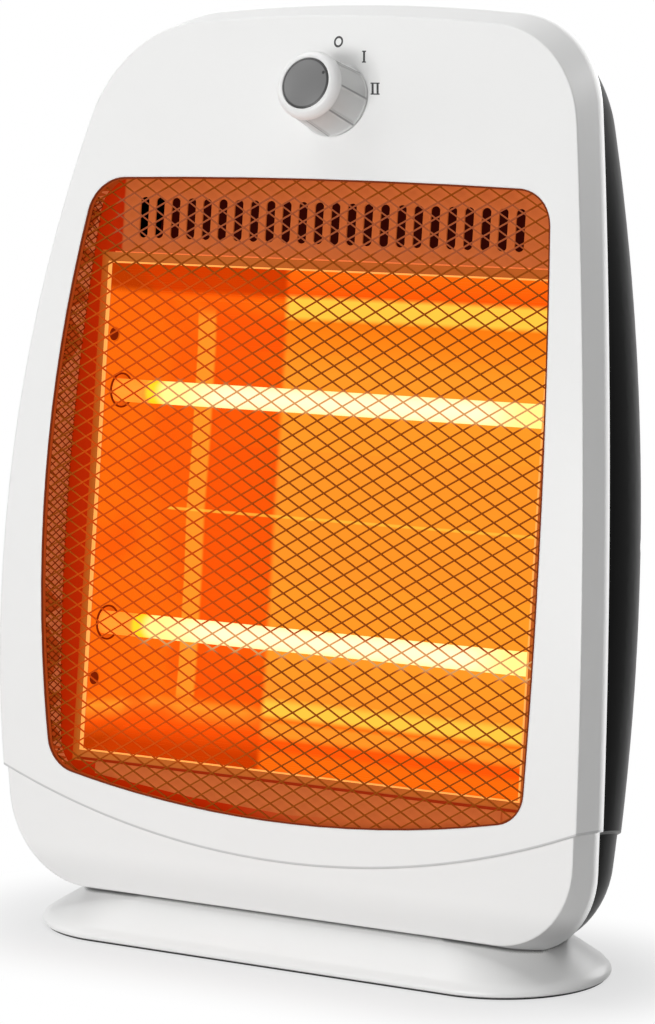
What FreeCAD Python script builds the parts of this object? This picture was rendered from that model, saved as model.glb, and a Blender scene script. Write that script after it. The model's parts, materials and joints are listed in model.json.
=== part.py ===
import FreeCAD, Part
import math
import os
from types import SimpleNamespace

import Sketcher
from FreeCAD import Placement, Rotation, Vector

doc = FreeCAD.newDocument("quartz_tube_heater")

# Driving sizes in millimetres and degrees.
# The casing is drawn upright, front towards -Y, and leans back where it is set on the foot.
SIZES = {
    # casing as a whole
    "lean_angle": 6.9,
    "casing_lead": 30.0,
    "wall": 2.4,
    "fit_gap": 0.3,
    # bowed front face: a cylinder lying along X
    "crown_y": -22.4,
    "crown_z": 197.0,
    "front_radius": 838.0,
    "band_depth": 20.4,
    "parting_gap": 0.15,
    # front view of the casing, at depth zero, and how it opens towards the back
    "side_half": 143.4,
    "side_draft": 0.084,
    "side_radius": 1021.0,
    "widest_z": 130.0,
    "top_z": 397.7,
    "top_draft": 0.344,
    "top_radius": 893.0,
    "top_corner": 49.0,
    "bottom_z": 17.7,
    "bottom_draft": 0.2,
    "bottom_corner": 39.6,
    "loft_fore_y": -26.0,
    "loft_aft_y": 27.0,
    # stepped skirt round the lower edge
    "skirt_step": 1.6,
    "skirt_front_step": 1.0,
    "skirt_z": 42.2,
    "skirt_radius": 375.0,
    # domed back
    "reveal": 1.6,
    "rear_fore_y": -6.0,
    "shoulder_y": 24.0,
    "shoulder_inset": 2.6,
    "waist_y": 48.0,
    "waist_inset": 10.9,
    "waist_rise": 1.5,
    "bend_y": 67.0,
    "bend_inset": 28.0,
    "bend_rise": 8.0,
    "rear_y": 80.0,
    "back_inset": 56.0,
    "back_rise": 26.0,
    # vents in the back
    "vent_wide": 3.6,
    "vent_pitch": 11.0,
    "upper_vent_count": 11.0,
    "upper_vent_low_z": 268.0,
    "upper_vent_high_z": 318.0,
    "lower_vent_count": 7.0,
    "lower_vent_low_z": 92.0,
    "lower_vent_high_z": 128.0,
    # window in the front
    "window_half": 121.0,
    "window_widest_z": 178.0,
    "window_side_radius": 1050.0,
    "window_top_z": 328.8,
    "window_top_radius": 3000.0,
    "window_top_corner": 17.0,
    "window_bottom_z": 59.3,
    "window_bottom_radius": 520.0,
    "window_bottom_corner": 15.0,
    "rib_clear": 1.7,
    "rib_thick": 1.6,
    "rib_back_y": -2.2,
    # welded wire guard
    "wire": 0.5,
    "mesh_wide": 11.5,
    "mesh_high": 6.6,
    "rim_lap": 1.4,
    "rim_bite": 0.4,
    "weld_gap": 0.1,
    # reflector and the panels in front of its flange
    "sheet": 0.6,
    "reflector_half": 107.3,
    "reflector_back_half": 101.0,
    "reflector_top_z": 290.8,
    "reflector_bottom_z": 79.4,
    "reflector_depth": 62.0,
    "trough_bend_y": 40.0,
    "trough_bend_drop": 14.0,
    "trough_back_drop": 34.0,
    "ridge_y": 43.0,
    "ridge_rise": 29.0,
    "flange_lip": 5.5,
    "surround_lap": 3.4,
    "ear_reach": 130.4,
    "ear_height": 12.0,
    "ear_hole_x": 126.0,
    "ear_upper_z": 268.0,
    "ear_lower_z": 100.0,
    "rivet_hole": 6.8,
    "rivet_hole_y": 4.0,
    "rivet_upper_z": 260.0,
    "rivet_lower_z": 110.0,
    "panel_sheet": 0.8,
    "panel_half": 110.2,
    "panel_corner_wide": 5.0,
    "panel_corner_high": 10.0,
    "panel_lap": 4.7,
    "slot_panel_top_z": 331.6,
    "slot_count": 24.0,
    "slot_span": 183.6,
    "slot_wide": 3.6,
    "slot_high": 17.6,
    "slot_z": 310.9,
    "slot_margin": 2.0,
    "lower_panel_half": 100.0,
    "lower_panel_rise": 2.5,
    # heating tubes
    "tube_y": 10.3,
    "tube_upper_z": 235.9,
    "tube_lower_z": 134.3,
    "tube_outer": 10.0,
    "tube_bore": 8.0,
    "tube_half": 118.0,
    "tube_hole": 14.6,
    "coil_outer": 7.4,
    "coil_bore": 5.8,
    "coil_half": 108.0,
    "cap_outer": 16.0,
    "cap_length": 15.0,
    "cap_grip": 9.0,
    "cap_clear": 0.2,
    "pin_outer": 4.0,
    "pin_length": 5.0,
    "bracket_x": 115.0,
    "bracket_sheet": 1.0,
    "bracket_deep": 20.0,
    "bracket_fore_y": 1.4,
    "bracket_over": 14.0,
    # rotary switch and knob
    "knob_x": 3.0,
    "knob_z": 362.0,
    "knob_radius": 16.0,
    "knob_height": 25.0,
    "knob_rim": 4.0,
    "knob_barrel": 14.6,
    "knob_lift": 0.5,
    "knob_hollow": 9.5,
    "knob_hollow_deep": 7.0,
    "knob_groove": 0.5,
    "knob_groove_wide": 0.9,
    "knob_panels": 8.0,
    "cap_radius": 10.8,
    "cap_thick": 2.4,
    "cap_dish": 0.3,
    "shaft_outer": 6.0,
    "shaft_grip": 12.0,
    "shaft_clear": 0.05,
    "bushing_outer": 9.0,
    "nut_flats": 12.0,
    "nut_thick": 2.0,
    "switch_wide": 28.0,
    "switch_high": 24.0,
    "switch_deep": 18.0,
    # safety parts and wiring points
    "cutout_x": 60.0,
    "cutout_outer": 16.0,
    "cutout_tall": 7.0,
    "gland_x": -58.0,
    "gland_z": 62.0,
    "gland_bore": 8.0,
    "gland_outer": 12.0,
    "gland_flange": 17.0,
    "gland_flange_thick": 2.0,
    "block_x": -44.0,
    "block_y": 24.0,
    "block_long": 34.0,
    "block_deep": 16.0,
    "block_tall": 13.0,
    "block_pitch": 10.0,
    # screws and bosses
    "screw_shank": 3.0,
    "screw_hole": 3.4,
    "screw_head": 6.4,
    "screw_head_tall": 2.0,
    "screw_bite": 9.0,
    "boss_outer": 9.0,
    "boss_floor": 6.0,
    "pilot_clear": 0.1,
    "counterbore": 7.6,
    "case_upper_x": 100.0,
    "case_upper_z": 345.0,
    "case_middle_x": 131.0,
    "case_middle_z": 185.0,
    "case_lower_x": 104.0,
    "case_lower_z": 40.0,
    # foot
    "foot_y": -22.73,
    "foot_half": 135.3,
    "foot_half_deep": 46.0,
    "foot_rim": 4.5,
    "foot_top_half": 104.0,
    "foot_top_half_deep": 27.0,
    "foot_top_y": 4.0,
    "foot_flare_z": 22.0,
    "ground_gap": 1.0,
    "seat_z": 15.4,
    "seat_gap": 0.2,
    "foot_screw_x": 80.0,
    "foot_screw_fore_y": 30.0,
    "foot_screw_aft_y": 50.0,
    "foot_boss_tall": 12.0,
    "plate_z": 2.2,
    "plate_thick": 1.6,
    "post_x": 112.0,
    "post_y": 12.0,
    "pad_x": 96.0,
    "pad_y": 28.0,
    "pad_radius": 7.0,
    # tip-over switch
    "tip_y": 8.0,
    "plunger_radius": 3.0,
    "plunger_tall": 20.4,
    "plunger_rest": 0.2,
    "plunger_collar": 4.6,
    "collar_z": 9.6,
    "collar_tall": 1.4,
    "tip_post_x": 7.5,
    "tip_post_radius": 2.0,
    "tip_switch_z": 22.0,
    "tip_switch_long": 20.0,
    "tip_switch_deep": 6.4,
    "tip_switch_tall": 10.2,
    "tip_button_radius": 1.4,
    "tip_well_long": 32.0,
    "tip_well_deep": 24.0,
}


class Size:
    """A length with the sheet formula that it comes from."""

    def __init__(self, value, formula):
        self.value = float(value)
        self.formula = formula

    def __add__(self, other):
        other = sized(other)
        return Size(self.value + other.value, f"({self.formula} + {other.formula})")

    def __radd__(self, other):
        return sized(other) + self

    def __sub__(self, other):
        other = sized(other)
        return Size(self.value - other.value, f"({self.formula} - {other.formula})")

    def __rsub__(self, other):
        return sized(other) - self

    def __mul__(self, other):
        other = sized(other)
        return Size(self.value * other.value, f"({self.formula} * {other.formula})")

    def __rmul__(self, other):
        return sized(other) * self

    def __truediv__(self, other):
        other = sized(other)
        return Size(self.value / other.value, f"({self.formula} / {other.formula})")

    def __neg__(self):
        return sized(0) - self


def sized(number):
    """Give a plain number the same form as a size from the sheet."""
    if isinstance(number, Size):
        return number
    return Size(number, f"({float(number)})")


def root(size):
    """Square root of a size."""
    return Size(math.sqrt(size.value), f"sqrt({size.formula})")


def sine_angle(ratio):
    """Angle in degrees whose sine is the ratio."""
    return Size(math.degrees(math.asin(ratio.value)), f"(asin({ratio.formula}) / 1deg)")


def sine(angle):
    """Sine of an angle in degrees."""
    return Size(math.sin(math.radians(angle.value)), f"sin({angle.formula} * 1deg)")


def cosine(angle):
    """Cosine of an angle in degrees."""
    return Size(math.cos(math.radians(angle.value)), f"cos({angle.formula} * 1deg)")


sheet = doc.addObject("Spreadsheet::Sheet", "Sizes")
for row, (alias, number) in enumerate(SIZES.items(), start=1):
    sheet.set(f"A{row}", alias)
    sheet.set(f"B{row}", str(number))
    sheet.setAlias(f"B{row}", alias)
doc.recompute()
size = SimpleNamespace(**{alias: Size(sheet.get(alias), f"Sizes.{alias}") for alias in SIZES})
size.casing_y = size.foot_y - size.casing_lead

# Ways that a sketch can face: where its x, its y and its normal point
FACING_UP = Rotation()
FACING_FRONT = Rotation(Vector(1, 0, 0), 90)
FACING_RIGHT = Rotation(Vector(1, 1, 1), 120)
# Ways that the axis of a turned piece can point
AXIS_UP = Rotation(Vector(1, 0, 0), 90)
AXIS_DOWN = Rotation(Vector(1, 0, 0), -90)
AXIS_BACK = Rotation()
AXIS_FRONT = Rotation(Vector(0, 0, 1), 180)
AXIS_RIGHT = Rotation(Vector(0, 0, 1), -90)
AXIS_LEFT = Rotation(Vector(0, 0, 1), 90)

pieces = []


def keep(shape_object, label):
    """Name a finished piece and put it on the list of pieces to write."""
    shape_object.Label = label
    pieces.append(shape_object)
    return shape_object


def bind(target, path, amount):
    """Tie one property of an object to the sheet."""
    target.setExpression(path, sized(amount).formula)


def place(target, at, turn=None, field="Placement"):
    """Set a placement whose position is tied to the sheet."""
    x, y, z = (sized(part) for part in at)
    setattr(target, field, Placement(Vector(x.value, y.value, z.value), turn or Rotation()))
    for axis, amount in zip("xyz", (x, y, z)):
        bind(target, f"{field}.Base.{axis}", amount)


def lean_back(target):
    """Set a piece that was drawn upright on the foot, leaning back."""
    turn = Rotation(Vector(-1, 0, 0), size.lean_angle.value)
    target.Placement = Placement(Vector(0, size.casing_y.value, 0), turn)
    bind(target, "Placement.Base.y", size.casing_y)
    bind(target, "Placement.Rotation.Angle", size.lean_angle)
    return target


# Sketches

def fix_point(sketch, geometry, point, x, y):
    """Tie one point of a sketch to its distances from the origin."""
    for kind, amount in (("DistanceX", sized(x)), ("DistanceY", sized(y))):
        number = sketch.addConstraint(Sketcher.Constraint(kind, -1, 1, geometry, point, amount.value))
        bind(sketch, f"Constraints[{number}]", amount)


def fix_radius(sketch, geometry, amount):
    """Tie the radius of an arc or circle."""
    number = sketch.addConstraint(Sketcher.Constraint("Radius", geometry, amount.value))
    bind(sketch, f"Constraints[{number}]", amount)


def draw_polygon(sketch, points):
    """Closed outline of straight lines through the points."""
    points = [(sized(x), sized(y)) for x, y in points]
    corners = [Vector(x.value, y.value, 0) for x, y in points]
    first = sketch.GeometryCount
    count = len(corners)
    for index in range(count):
        sketch.addGeometry(Part.LineSegment(corners[index], corners[(index + 1) % count]))
    for index in range(count):
        following = first + (index + 1) % count
        sketch.addConstraint(Sketcher.Constraint("Coincident", first + index, 2, following, 1))
        fix_point(sketch, first + index, 1, *points[index])


def draw_circle(sketch, x, y, radius):
    """Circle at a point."""
    x, y, radius = sized(x), sized(y), sized(radius)
    circle = Part.Circle(Vector(x.value, y.value, 0), Vector(0, 0, 1), radius.value)
    number = sketch.addGeometry(circle)
    fix_point(sketch, number, 3, x, y)
    fix_radius(sketch, number, radius)


def circles_cross(first, first_radius, second, second_radius, upper):
    """Right-hand crossing of two circles, the upper or the lower one."""
    gap = second - first
    along = (first_radius ** 2 - second_radius ** 2 + gap.Length ** 2) / (2 * gap.Length)
    aside = math.sqrt(first_radius ** 2 - along ** 2)
    foot = first + gap * (along / gap.Length)
    across = Vector(-gap.y, gap.x, 0) * (aside / gap.Length)
    choices = sorted((foot + across, foot - across), key=lambda point: point.y)
    return choices[1] if upper else choices[0]


def arc_between(centre, radius, start, end):
    """Arc that runs anticlockwise from one angle to another."""
    return Part.ArcOfCircle(Part.Circle(centre, Vector(0, 0, 1), radius), start, end)


def angle_from(centre, point):
    """Direction from a centre to a point."""
    return math.atan2(point.y - centre.y, point.x - centre.x)


def outline_sketch(name, depth, form):
    """Rounded front-view outline: bowed sides and top, round corners, flat or bowed bottom."""
    sketch = doc.addObject("Sketcher::SketchObject", name)
    place(sketch, (0, depth, 0), FACING_FRONT)
    side = Vector(form.half.value - form.side_radius.value, form.widest.value, 0)
    top = Vector(0, form.top.value - form.top_radius.value, 0)
    side_radius, top_radius = form.side_radius.value, form.top_radius.value
    upper, lower = form.top_corner.value, form.bottom_corner.value
    high = circles_cross(side, side_radius - upper, top, top_radius - upper, True)
    if form.bottom_radius is None:
        low_z = form.bottom.value + lower
        reach = math.sqrt((side_radius - lower) ** 2 - (low_z - side.y) ** 2)
        low = Vector(side.x + reach, low_z, 0)
        low_angle = -math.pi / 2
        bottom = Part.LineSegment(Vector(-low.x, form.bottom.value, 0), Vector(low.x, form.bottom.value, 0))
    else:
        bottom_radius = form.bottom_radius.value
        centre = Vector(0, form.bottom.value + bottom_radius, 0)
        low = circles_cross(side, side_radius - lower, centre, bottom_radius - lower, False)
        low_angle = angle_from(centre, low)
        bottom = arc_between(centre, bottom_radius, -math.pi - low_angle, low_angle)
    side_low, side_high = angle_from(side, low), angle_from(side, high)
    top_right = angle_from(top, high)
    flip = math.pi
    other_side = Vector(-side.x, side.y, 0)
    sketch.addGeometry([
        bottom,
        arc_between(low, lower, low_angle, side_low),
        arc_between(side, side_radius, side_low, side_high),
        arc_between(high, upper, side_high, top_right),
        arc_between(top, top_radius, top_right, flip - top_right),
        arc_between(Vector(-high.x, high.y, 0), upper, flip - top_right, flip - side_high),
        arc_between(other_side, side_radius, flip - side_high, flip - side_low),
        arc_between(Vector(-low.x, low.y, 0), lower, flip - side_low, flip - low_angle),
    ])
    for index in range(8):
        sketch.addConstraint(Sketcher.Constraint("Tangent", index, 2, (index + 1) % 8, 1))
    for index, amount in ((1, form.bottom_corner), (7, form.bottom_corner), (2, form.side_radius),
                          (6, form.side_radius), (3, form.top_corner), (5, form.top_corner),
                          (4, form.top_radius)):
        fix_radius(sketch, index, amount)
    fix_point(sketch, 2, 3, form.half - form.side_radius, form.widest)
    fix_point(sketch, 6, 3, form.side_radius - form.half, form.widest)
    fix_point(sketch, 4, 3, 0, form.top - form.top_radius)
    if form.bottom_radius is None:
        sketch.addConstraint(Sketcher.Constraint("Horizontal", 0))
        number = sketch.addConstraint(Sketcher.Constraint("DistanceY", -1, 1, 0, 1, form.bottom.value))
        bind(sketch, f"Constraints[{number}]", form.bottom)
    else:
        fix_radius(sketch, 0, form.bottom_radius)
        fix_point(sketch, 0, 3, 0, form.bottom + form.bottom_radius)
    return sketch


def front_form(depth, inset):
    """Outline of the front casing at a depth, drawn in on all sides by an inset."""
    return SimpleNamespace(
        half=size.side_half + size.side_draft * depth - inset,
        widest=size.widest_z,
        side_radius=size.side_radius - inset,
        top=size.top_z + size.top_draft * depth - inset,
        top_radius=size.top_radius - inset,
        top_corner=size.top_corner - inset,
        bottom=size.bottom_z - size.bottom_draft * depth + inset,
        bottom_corner=size.bottom_corner - inset,
        bottom_radius=None)


def rear_form(side_inset, top, bottom, inset):
    """Outline of the back casing for one section of its dome."""
    return SimpleNamespace(
        half=size.side_half - side_inset - inset,
        widest=size.widest_z,
        side_radius=size.side_radius - inset,
        top=top - inset,
        top_radius=size.top_radius - inset,
        top_corner=size.top_corner - inset,
        bottom=bottom + inset - size.skirt_step,
        bottom_corner=size.bottom_corner - inset,
        bottom_radius=None)


def window_form(outset):
    """Outline of the window, grown on all sides by an outset."""
    return SimpleNamespace(
        half=size.window_half + outset,
        widest=size.window_widest_z,
        side_radius=size.window_side_radius + outset,
        top=size.window_top_z + outset,
        top_radius=size.window_top_radius + outset,
        top_corner=size.window_top_corner + outset,
        bottom=size.window_bottom_z - outset,
        bottom_corner=size.window_bottom_corner + outset,
        bottom_radius=size.window_bottom_radius + outset)


# Solids

def box(name, low, lengths):
    """Box from its lowest corner."""
    target = doc.addObject("Part::Box", name)
    for field, amount in zip(("Length", "Width", "Height"), lengths):
        bind(target, field, amount)
    place(target, low)
    return target


def rod(name, radius, length, at, direction):
    """Cylinder from the middle of its base along a direction."""
    target = doc.addObject("Part::Cylinder", name)
    bind(target, "Radius", radius)
    bind(target, "Height", length)
    place(target, at, Rotation(Vector(0, 0, 1), Vector(*direction)))
    return target


def fuse(name, *shapes):
    """One solid from several."""
    target = doc.addObject("Part::MultiFuse", name)
    target.Shapes = list(shapes)
    target.Refine = True
    return target


def common(name, *shapes):
    """What several solids share."""
    target = doc.addObject("Part::MultiCommon", name)
    target.Shapes = list(shapes)
    return target


def group(name, shapes):
    """Several solids side by side as one object."""
    target = doc.addObject("Part::Compound", name)
    target.Links = list(shapes)
    return target


def cut(name, base, *tools):
    """A solid less one or more others."""
    target = doc.addObject("Part::Cut", name)
    target.Base = base
    target.Tool = tools[0] if len(tools) == 1 else fuse(f"{name}_tools", *tools)
    return target


def extrude(name, sketch, direction, length):
    """Solid from a closed sketch."""
    target = doc.addObject("Part::Extrusion", name)
    target.Base = sketch
    target.DirMode = "Custom"
    target.Dir = Vector(*direction)
    target.Solid = True
    bind(target, "LengthFwd", length)
    return target


def loft(name, sections, ruled):
    """Solid through a row of closed sketches."""
    target = doc.addObject("Part::Loft", name)
    target.Sections = sections
    target.Solid = True
    target.Ruled = ruled
    return target


def body_sketch(name, at, turn):
    """New body with one sketch set at a place in it."""
    body = doc.addObject("PartDesign::Body", name)
    sketch = body.newObject("Sketcher::SketchObject", f"{name}_sketch")
    ground = [plane for plane in body.Origin.OriginFeatures if plane.Role == "XY_Plane"][0]
    sketch.AttachmentSupport = [(ground, "")]
    sketch.MapMode = "FlatFace"
    place(sketch, at, turn, "AttachmentOffset")
    return body, sketch


def prism(name, draw, length, at, turn):
    """Pad of a sketch that the draw function fills."""
    body, sketch = body_sketch(name, at, turn)
    draw(sketch)
    pad = body.newObject("PartDesign::Pad", f"{name}_pad")
    pad.Profile = sketch
    bind(pad, "Length", length)
    return body


def polygon_prism(name, points, length, at, turn):
    """Pad of a closed outline of straight lines."""
    return prism(name, lambda sketch: draw_polygon(sketch, points), length, at, turn)


def turned(name, profile, at, axis):
    """Piece turned from a profile of radius and height about an axis."""
    body, sketch = body_sketch(name, at, axis)
    draw_polygon(sketch, profile)
    revolution = body.newObject("PartDesign::Revolution", f"{name}_turn")
    revolution.Profile = sketch
    revolution.ReferenceAxis = (sketch, ["V_Axis"])
    revolution.Angle = 360
    return body


def front_y(z, behind=0):
    """Depth of the bowed front face, or of a surface a distance behind it, at a height."""
    reach = size.front_radius - behind
    rise = z - size.crown_z
    return size.crown_y + size.front_radius - root(reach * reach - rise * rise)


def bow(name, behind):
    """Cylinder that fills everything behind the bowed front face, or behind a parallel one."""
    length = 2 * (size.side_half + size.wall * 10)
    at = (-length / 2, size.crown_y + size.front_radius, size.crown_z)
    return rod(name, size.front_radius - behind, length, at, (1, 0, 0))


def above_skirt(name, raised):
    """Cylinder that fills everything above the step of the skirt."""
    at = (0, size.crown_y - size.wall * 10, size.skirt_z + size.skirt_radius)
    length = size.rear_y - size.crown_y + size.wall * 20
    return rod(name, size.skirt_radius - raised, length, at, (0, 1, 0))


def front_loft(name, inset):
    """Drafted block of the front casing before its front and back are cut."""
    sections = []
    for end, depth in (("fore", size.loft_fore_y), ("aft", size.loft_aft_y)):
        sections.append(outline_sketch(f"{name}_{end}", depth, front_form(depth, inset)))
    return loft(name, sections, True)


def rear_loft(name, inset, shorter):
    """Domed block of the back casing."""
    rest = size.seat_z + size.seat_gap
    fore_top = size.top_z + size.top_draft * size.rear_fore_y - size.reveal
    full_top = size.top_z + size.top_draft * size.shoulder_y
    sections = [
        (size.rear_fore_y, size.reveal, fore_top, rest),
        (size.shoulder_y, size.shoulder_inset, full_top - size.shoulder_inset, rest),
        (size.waist_y, size.waist_inset, full_top - size.waist_inset, rest + size.waist_rise),
        (size.bend_y, size.bend_inset, full_top - size.bend_inset, rest + size.bend_rise),
        (size.rear_y - shorter, size.back_inset, full_top - size.back_inset, rest + size.back_rise),
    ]
    sketches = []
    for index, (depth, side_inset, top, bottom) in enumerate(sections):
        form = rear_form(side_inset, top, bottom, inset)
        sketches.append(outline_sketch(f"{name}_{index}", depth, form))
    return loft(name, sketches, False)


def mirrored(x, z):
    """The same height on the right and on the left."""
    return [(x, z), (-x, z)]


CASE_SCREWS = (mirrored(size.case_upper_x, size.case_upper_z)
               + mirrored(size.case_middle_x, size.case_middle_z)
               + mirrored(size.case_lower_x, size.case_lower_z))
EARS = mirrored(size.ear_hole_x, size.ear_upper_z) + mirrored(size.ear_hole_x, size.ear_lower_z)
FOOT_SCREWS = (mirrored(size.foot_screw_x, size.foot_screw_fore_y)
               + mirrored(size.foot_screw_x, size.foot_screw_aft_y))
TUBES = (("upper", size.tube_upper_z), ("lower", size.tube_lower_z))
flange_back_y = sized(0)
flange_front_y = -size.sheet
pilot_radius = size.screw_shank / 2 + size.pilot_clear
panel_tilt = sine_angle((size.knob_z - size.crown_z) / size.front_radius)
knob_face_y = front_y(size.knob_z)
knob_turn = Rotation(Vector(1, 0, 0), 180 - panel_tilt.value)
panel_turn = Rotation(Vector(1, 0, 0), 90 - panel_tilt.value)


def along_knob(distance):
    """Point on the knob's axis at a distance in front of the panel."""
    y = knob_face_y - distance * cosine(panel_tilt)
    z = size.knob_z + distance * sine(panel_tilt)
    return size.knob_x, y, z


def tilt_with_panel(sketch, upright):
    """Tie the turn of a sketch to the slope of the panel under the knob."""
    bind(sketch, "AttachmentOffset.Rotation.Angle", upright - panel_tilt)


def sketch_of(body):
    """The first sketch of a body."""
    return [item for item in body.Group if item.TypeId == "Sketcher::SketchObject"][0]


def knob_turned(name, profile, distance):
    """Turned piece on the knob's axis, its height counted away from the panel."""
    body = turned(name, profile, along_knob(distance), knob_turn)
    tilt_with_panel(sketch_of(body), 180)
    return body


def knob_prism(name, draw, length, distance):
    """Pad of a sketch that lies in the panel's plane under the knob, facing out."""
    body = prism(name, draw, length, along_knob(distance), panel_turn)
    tilt_with_panel(sketch_of(body), 90)
    return body


def ring_profile(inner, outer, low, high):
    """Profile of a plain ring."""
    return [(inner, low), (outer, low), (outer, high), (inner, high)]


def screw(name, at, axis, length):
    """Pan-head screw: shank from its seat along the axis, head behind the seat."""
    head = size.screw_head / 2
    shank = size.screw_shank / 2
    bevel = size.screw_head_tall / 4
    profile = [(0, -size.screw_head_tall), (head - bevel, -size.screw_head_tall), (head, -bevel), (head, 0),
               (shank, 0), (shank, length - shank), (shank / 2, length), (0, length)]
    return turned(name, profile, at, axis)


# Casing: front shell
def make_front_shell():
    """White moulding with the window, a stepped skirt, screw bosses and a rib round the guard."""
    skin = common("front_upper", front_loft("front_upper_block", sized(0)), bow("front_upper_bow", 0),
                  above_skirt("front_upper_edge", 0))
    skirt = common("front_skirt", front_loft("front_skirt_block", size.skirt_step),
                   bow("front_skirt_bow", size.skirt_front_step))
    core = common("front_core_upper", front_loft("front_core_upper_block", size.wall),
                  bow("front_core_upper_bow", size.wall), above_skirt("front_core_edge", size.wall))
    core_skirt = common("front_core_skirt",
                        front_loft("front_core_skirt_block", size.skirt_step + size.wall),
                        bow("front_core_skirt_bow", size.skirt_front_step + size.wall))
    window_start = size.crown_y - size.wall
    window = extrude("window_cut", outline_sketch("window_outline", window_start, window_form(sized(0))),
                     (0, 1, 0), size.rib_back_y - window_start)
    shell = cut("front_hollow", fuse("front_skin", skin, skirt), core, core_skirt, window,
                bow("front_parting", size.band_depth))
    rib_start = window_start
    rib_length = size.rib_back_y - rib_start
    rib_outer = extrude("rib_outer", outline_sketch("rib_outer_outline", rib_start,
                                                    window_form(size.rib_clear + size.rib_thick)),
                        (0, 1, 0), rib_length)
    rib_inner = extrude("rib_inner", outline_sketch("rib_inner_outline", rib_start,
                                                    window_form(size.rib_clear)),
                        (0, 1, 0), rib_length)
    posts = [cut("guard_rib", rib_outer, rib_inner)]
    pilots = []
    deep = size.screw_bite + size.fit_gap
    for index, (x, z) in enumerate(CASE_SCREWS):
        back = front_y(z, size.band_depth) - size.parting_gap
        posts.append(rod(f"front_boss_{index}", size.boss_outer / 2, back - rib_start,
                         (x, rib_start, z), (0, 1, 0)))
        pilots.append(rod(f"front_pilot_{index}", pilot_radius, deep + size.wall,
                          (x, back - deep, z), (0, 1, 0)))
    for index, (x, z) in enumerate(EARS):
        posts.append(rod(f"ear_boss_{index}", size.boss_outer / 2, flange_back_y - rib_start,
                         (x, rib_start, z), (0, 1, 0)))
        pilots.append(rod(f"ear_pilot_{index}", pilot_radius, deep + size.wall,
                          (x, flange_back_y - deep, z), (0, 1, 0)))
    inside = bow("front_inside", size.wall / 2)
    inner_posts = common("front_posts", fuse("front_post_group", *posts), inside)
    shaped = fuse("front_joined", shell, inner_posts)
    bushing_hole = size.bushing_outer / 2 + size.fit_gap
    x, y, z = along_knob(-2 * size.wall)
    hole = rod("bushing_hole", bushing_hole, 4 * size.wall, (x, y, z), (0, -1, 0))
    hole.Placement.Rotation = Rotation(Vector(1, 0, 0), 90 - panel_tilt.value)
    bind(hole, "Placement.Rotation.Angle", 90 - panel_tilt)
    return lean_back(keep(cut("front_shell", shaped, hole, *pilots), "front_shell"))


# Casing: back shell
def vent_slots(name, count, low, high):
    """Row of upright vent slots through the back."""
    tools = []
    for index in range(int(count.value)):
        x = size.vent_pitch * (index - (count - 1) / 2) - size.vent_wide / 2
        tools.append(box(f"{name}_{index}", (x, size.rear_y - 3 * size.wall, low),
                         (size.vent_wide, 6 * size.wall, high - low)))
    return tools


def make_rear_shell():
    """Black domed moulding with vents, screw wells, a cord hole and a well for the tip switch."""
    bow_face = bow("rear_bow", size.band_depth + size.parting_gap)
    skin = common("rear_upper", rear_loft("rear_upper_block", sized(0), sized(0)), bow_face,
                  above_skirt("rear_upper_edge", 0))
    skirt = common("rear_skirt", rear_loft("rear_skirt_block", size.skirt_step, size.skirt_step), bow_face)
    core = common("rear_core_upper", rear_loft("rear_core_upper_block", size.wall, size.wall),
                  above_skirt("rear_core_edge", size.wall))
    core_skirt = rear_loft("rear_core_skirt_block", size.skirt_step + size.wall, size.skirt_step + size.wall)
    whole = fuse("rear_skin", skin, skirt)
    hollow = cut("rear_hollow", whole, core, core_skirt)
    posts = []
    holes = []
    for index, (x, z) in enumerate(CASE_SCREWS):
        start = front_y(z, size.band_depth) + size.parting_gap
        seat = start + size.boss_floor
        reach = size.rear_y - start
        posts.append(rod(f"rear_boss_{index}", size.counterbore / 2 + size.wall, reach,
                         (x, start, z), (0, 1, 0)))
        holes.append(rod(f"rear_hole_{index}", size.screw_hole / 2, reach + size.wall,
                         (x, start - size.wall, z), (0, 1, 0)))
        holes.append(rod(f"rear_counterbore_{index}", size.counterbore / 2, reach, (x, seat, z), (0, 1, 0)))
    rest = size.seat_z + size.seat_gap
    for index, (x, y) in enumerate(FOOT_SCREWS):
        posts.append(rod(f"foot_boss_{index}", size.boss_outer / 2, size.foot_boss_tall,
                         (x, y, rest), (0, 0, 1)))
        holes.append(rod(f"foot_pilot_{index}", pilot_radius, size.screw_bite + size.fit_gap,
                         (x, y, rest - size.fit_gap), (0, 0, 1)))
    joined = fuse("rear_joined", hollow, common("rear_posts", fuse("rear_post_group", *posts), whole))
    gland = rod("gland_hole", size.gland_outer / 2 + size.cap_clear, 6 * size.wall,
                (size.gland_x, size.rear_y - 4 * size.wall, size.gland_z), (0, 1, 0))
    vents = vent_slots("upper_vent", size.upper_vent_count, size.upper_vent_low_z, size.upper_vent_high_z)
    vents += vent_slots("lower_vent", size.lower_vent_count, size.lower_vent_low_z, size.lower_vent_high_z)
    well_y = (size.foot_y + size.tip_y - size.casing_y) - size.tip_well_deep / 2
    well = box("rear_tip_well", (-size.tip_well_long / 2, well_y, rest - size.wall),
               (size.tip_well_long, size.tip_well_deep, 4 * size.wall))
    return lean_back(keep(cut("rear_shell", joined, gland, well, *vents, *holes), "rear_shell"))


# Welded wire guard
def guard_y(z):
    """Depth of the guard's front at a height, straight between a few heights as the wires are bent."""
    levels = guard_levels()
    spot = min(max(z, levels[0]), levels[-1])
    for low, high in zip(levels, levels[1:]):
        if low <= spot <= high:
            share = (spot - low) / (high - low)
            return guard_arc_y(low) * (1 - share) + guard_arc_y(high) * share
    return guard_arc_y(spot)


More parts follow.
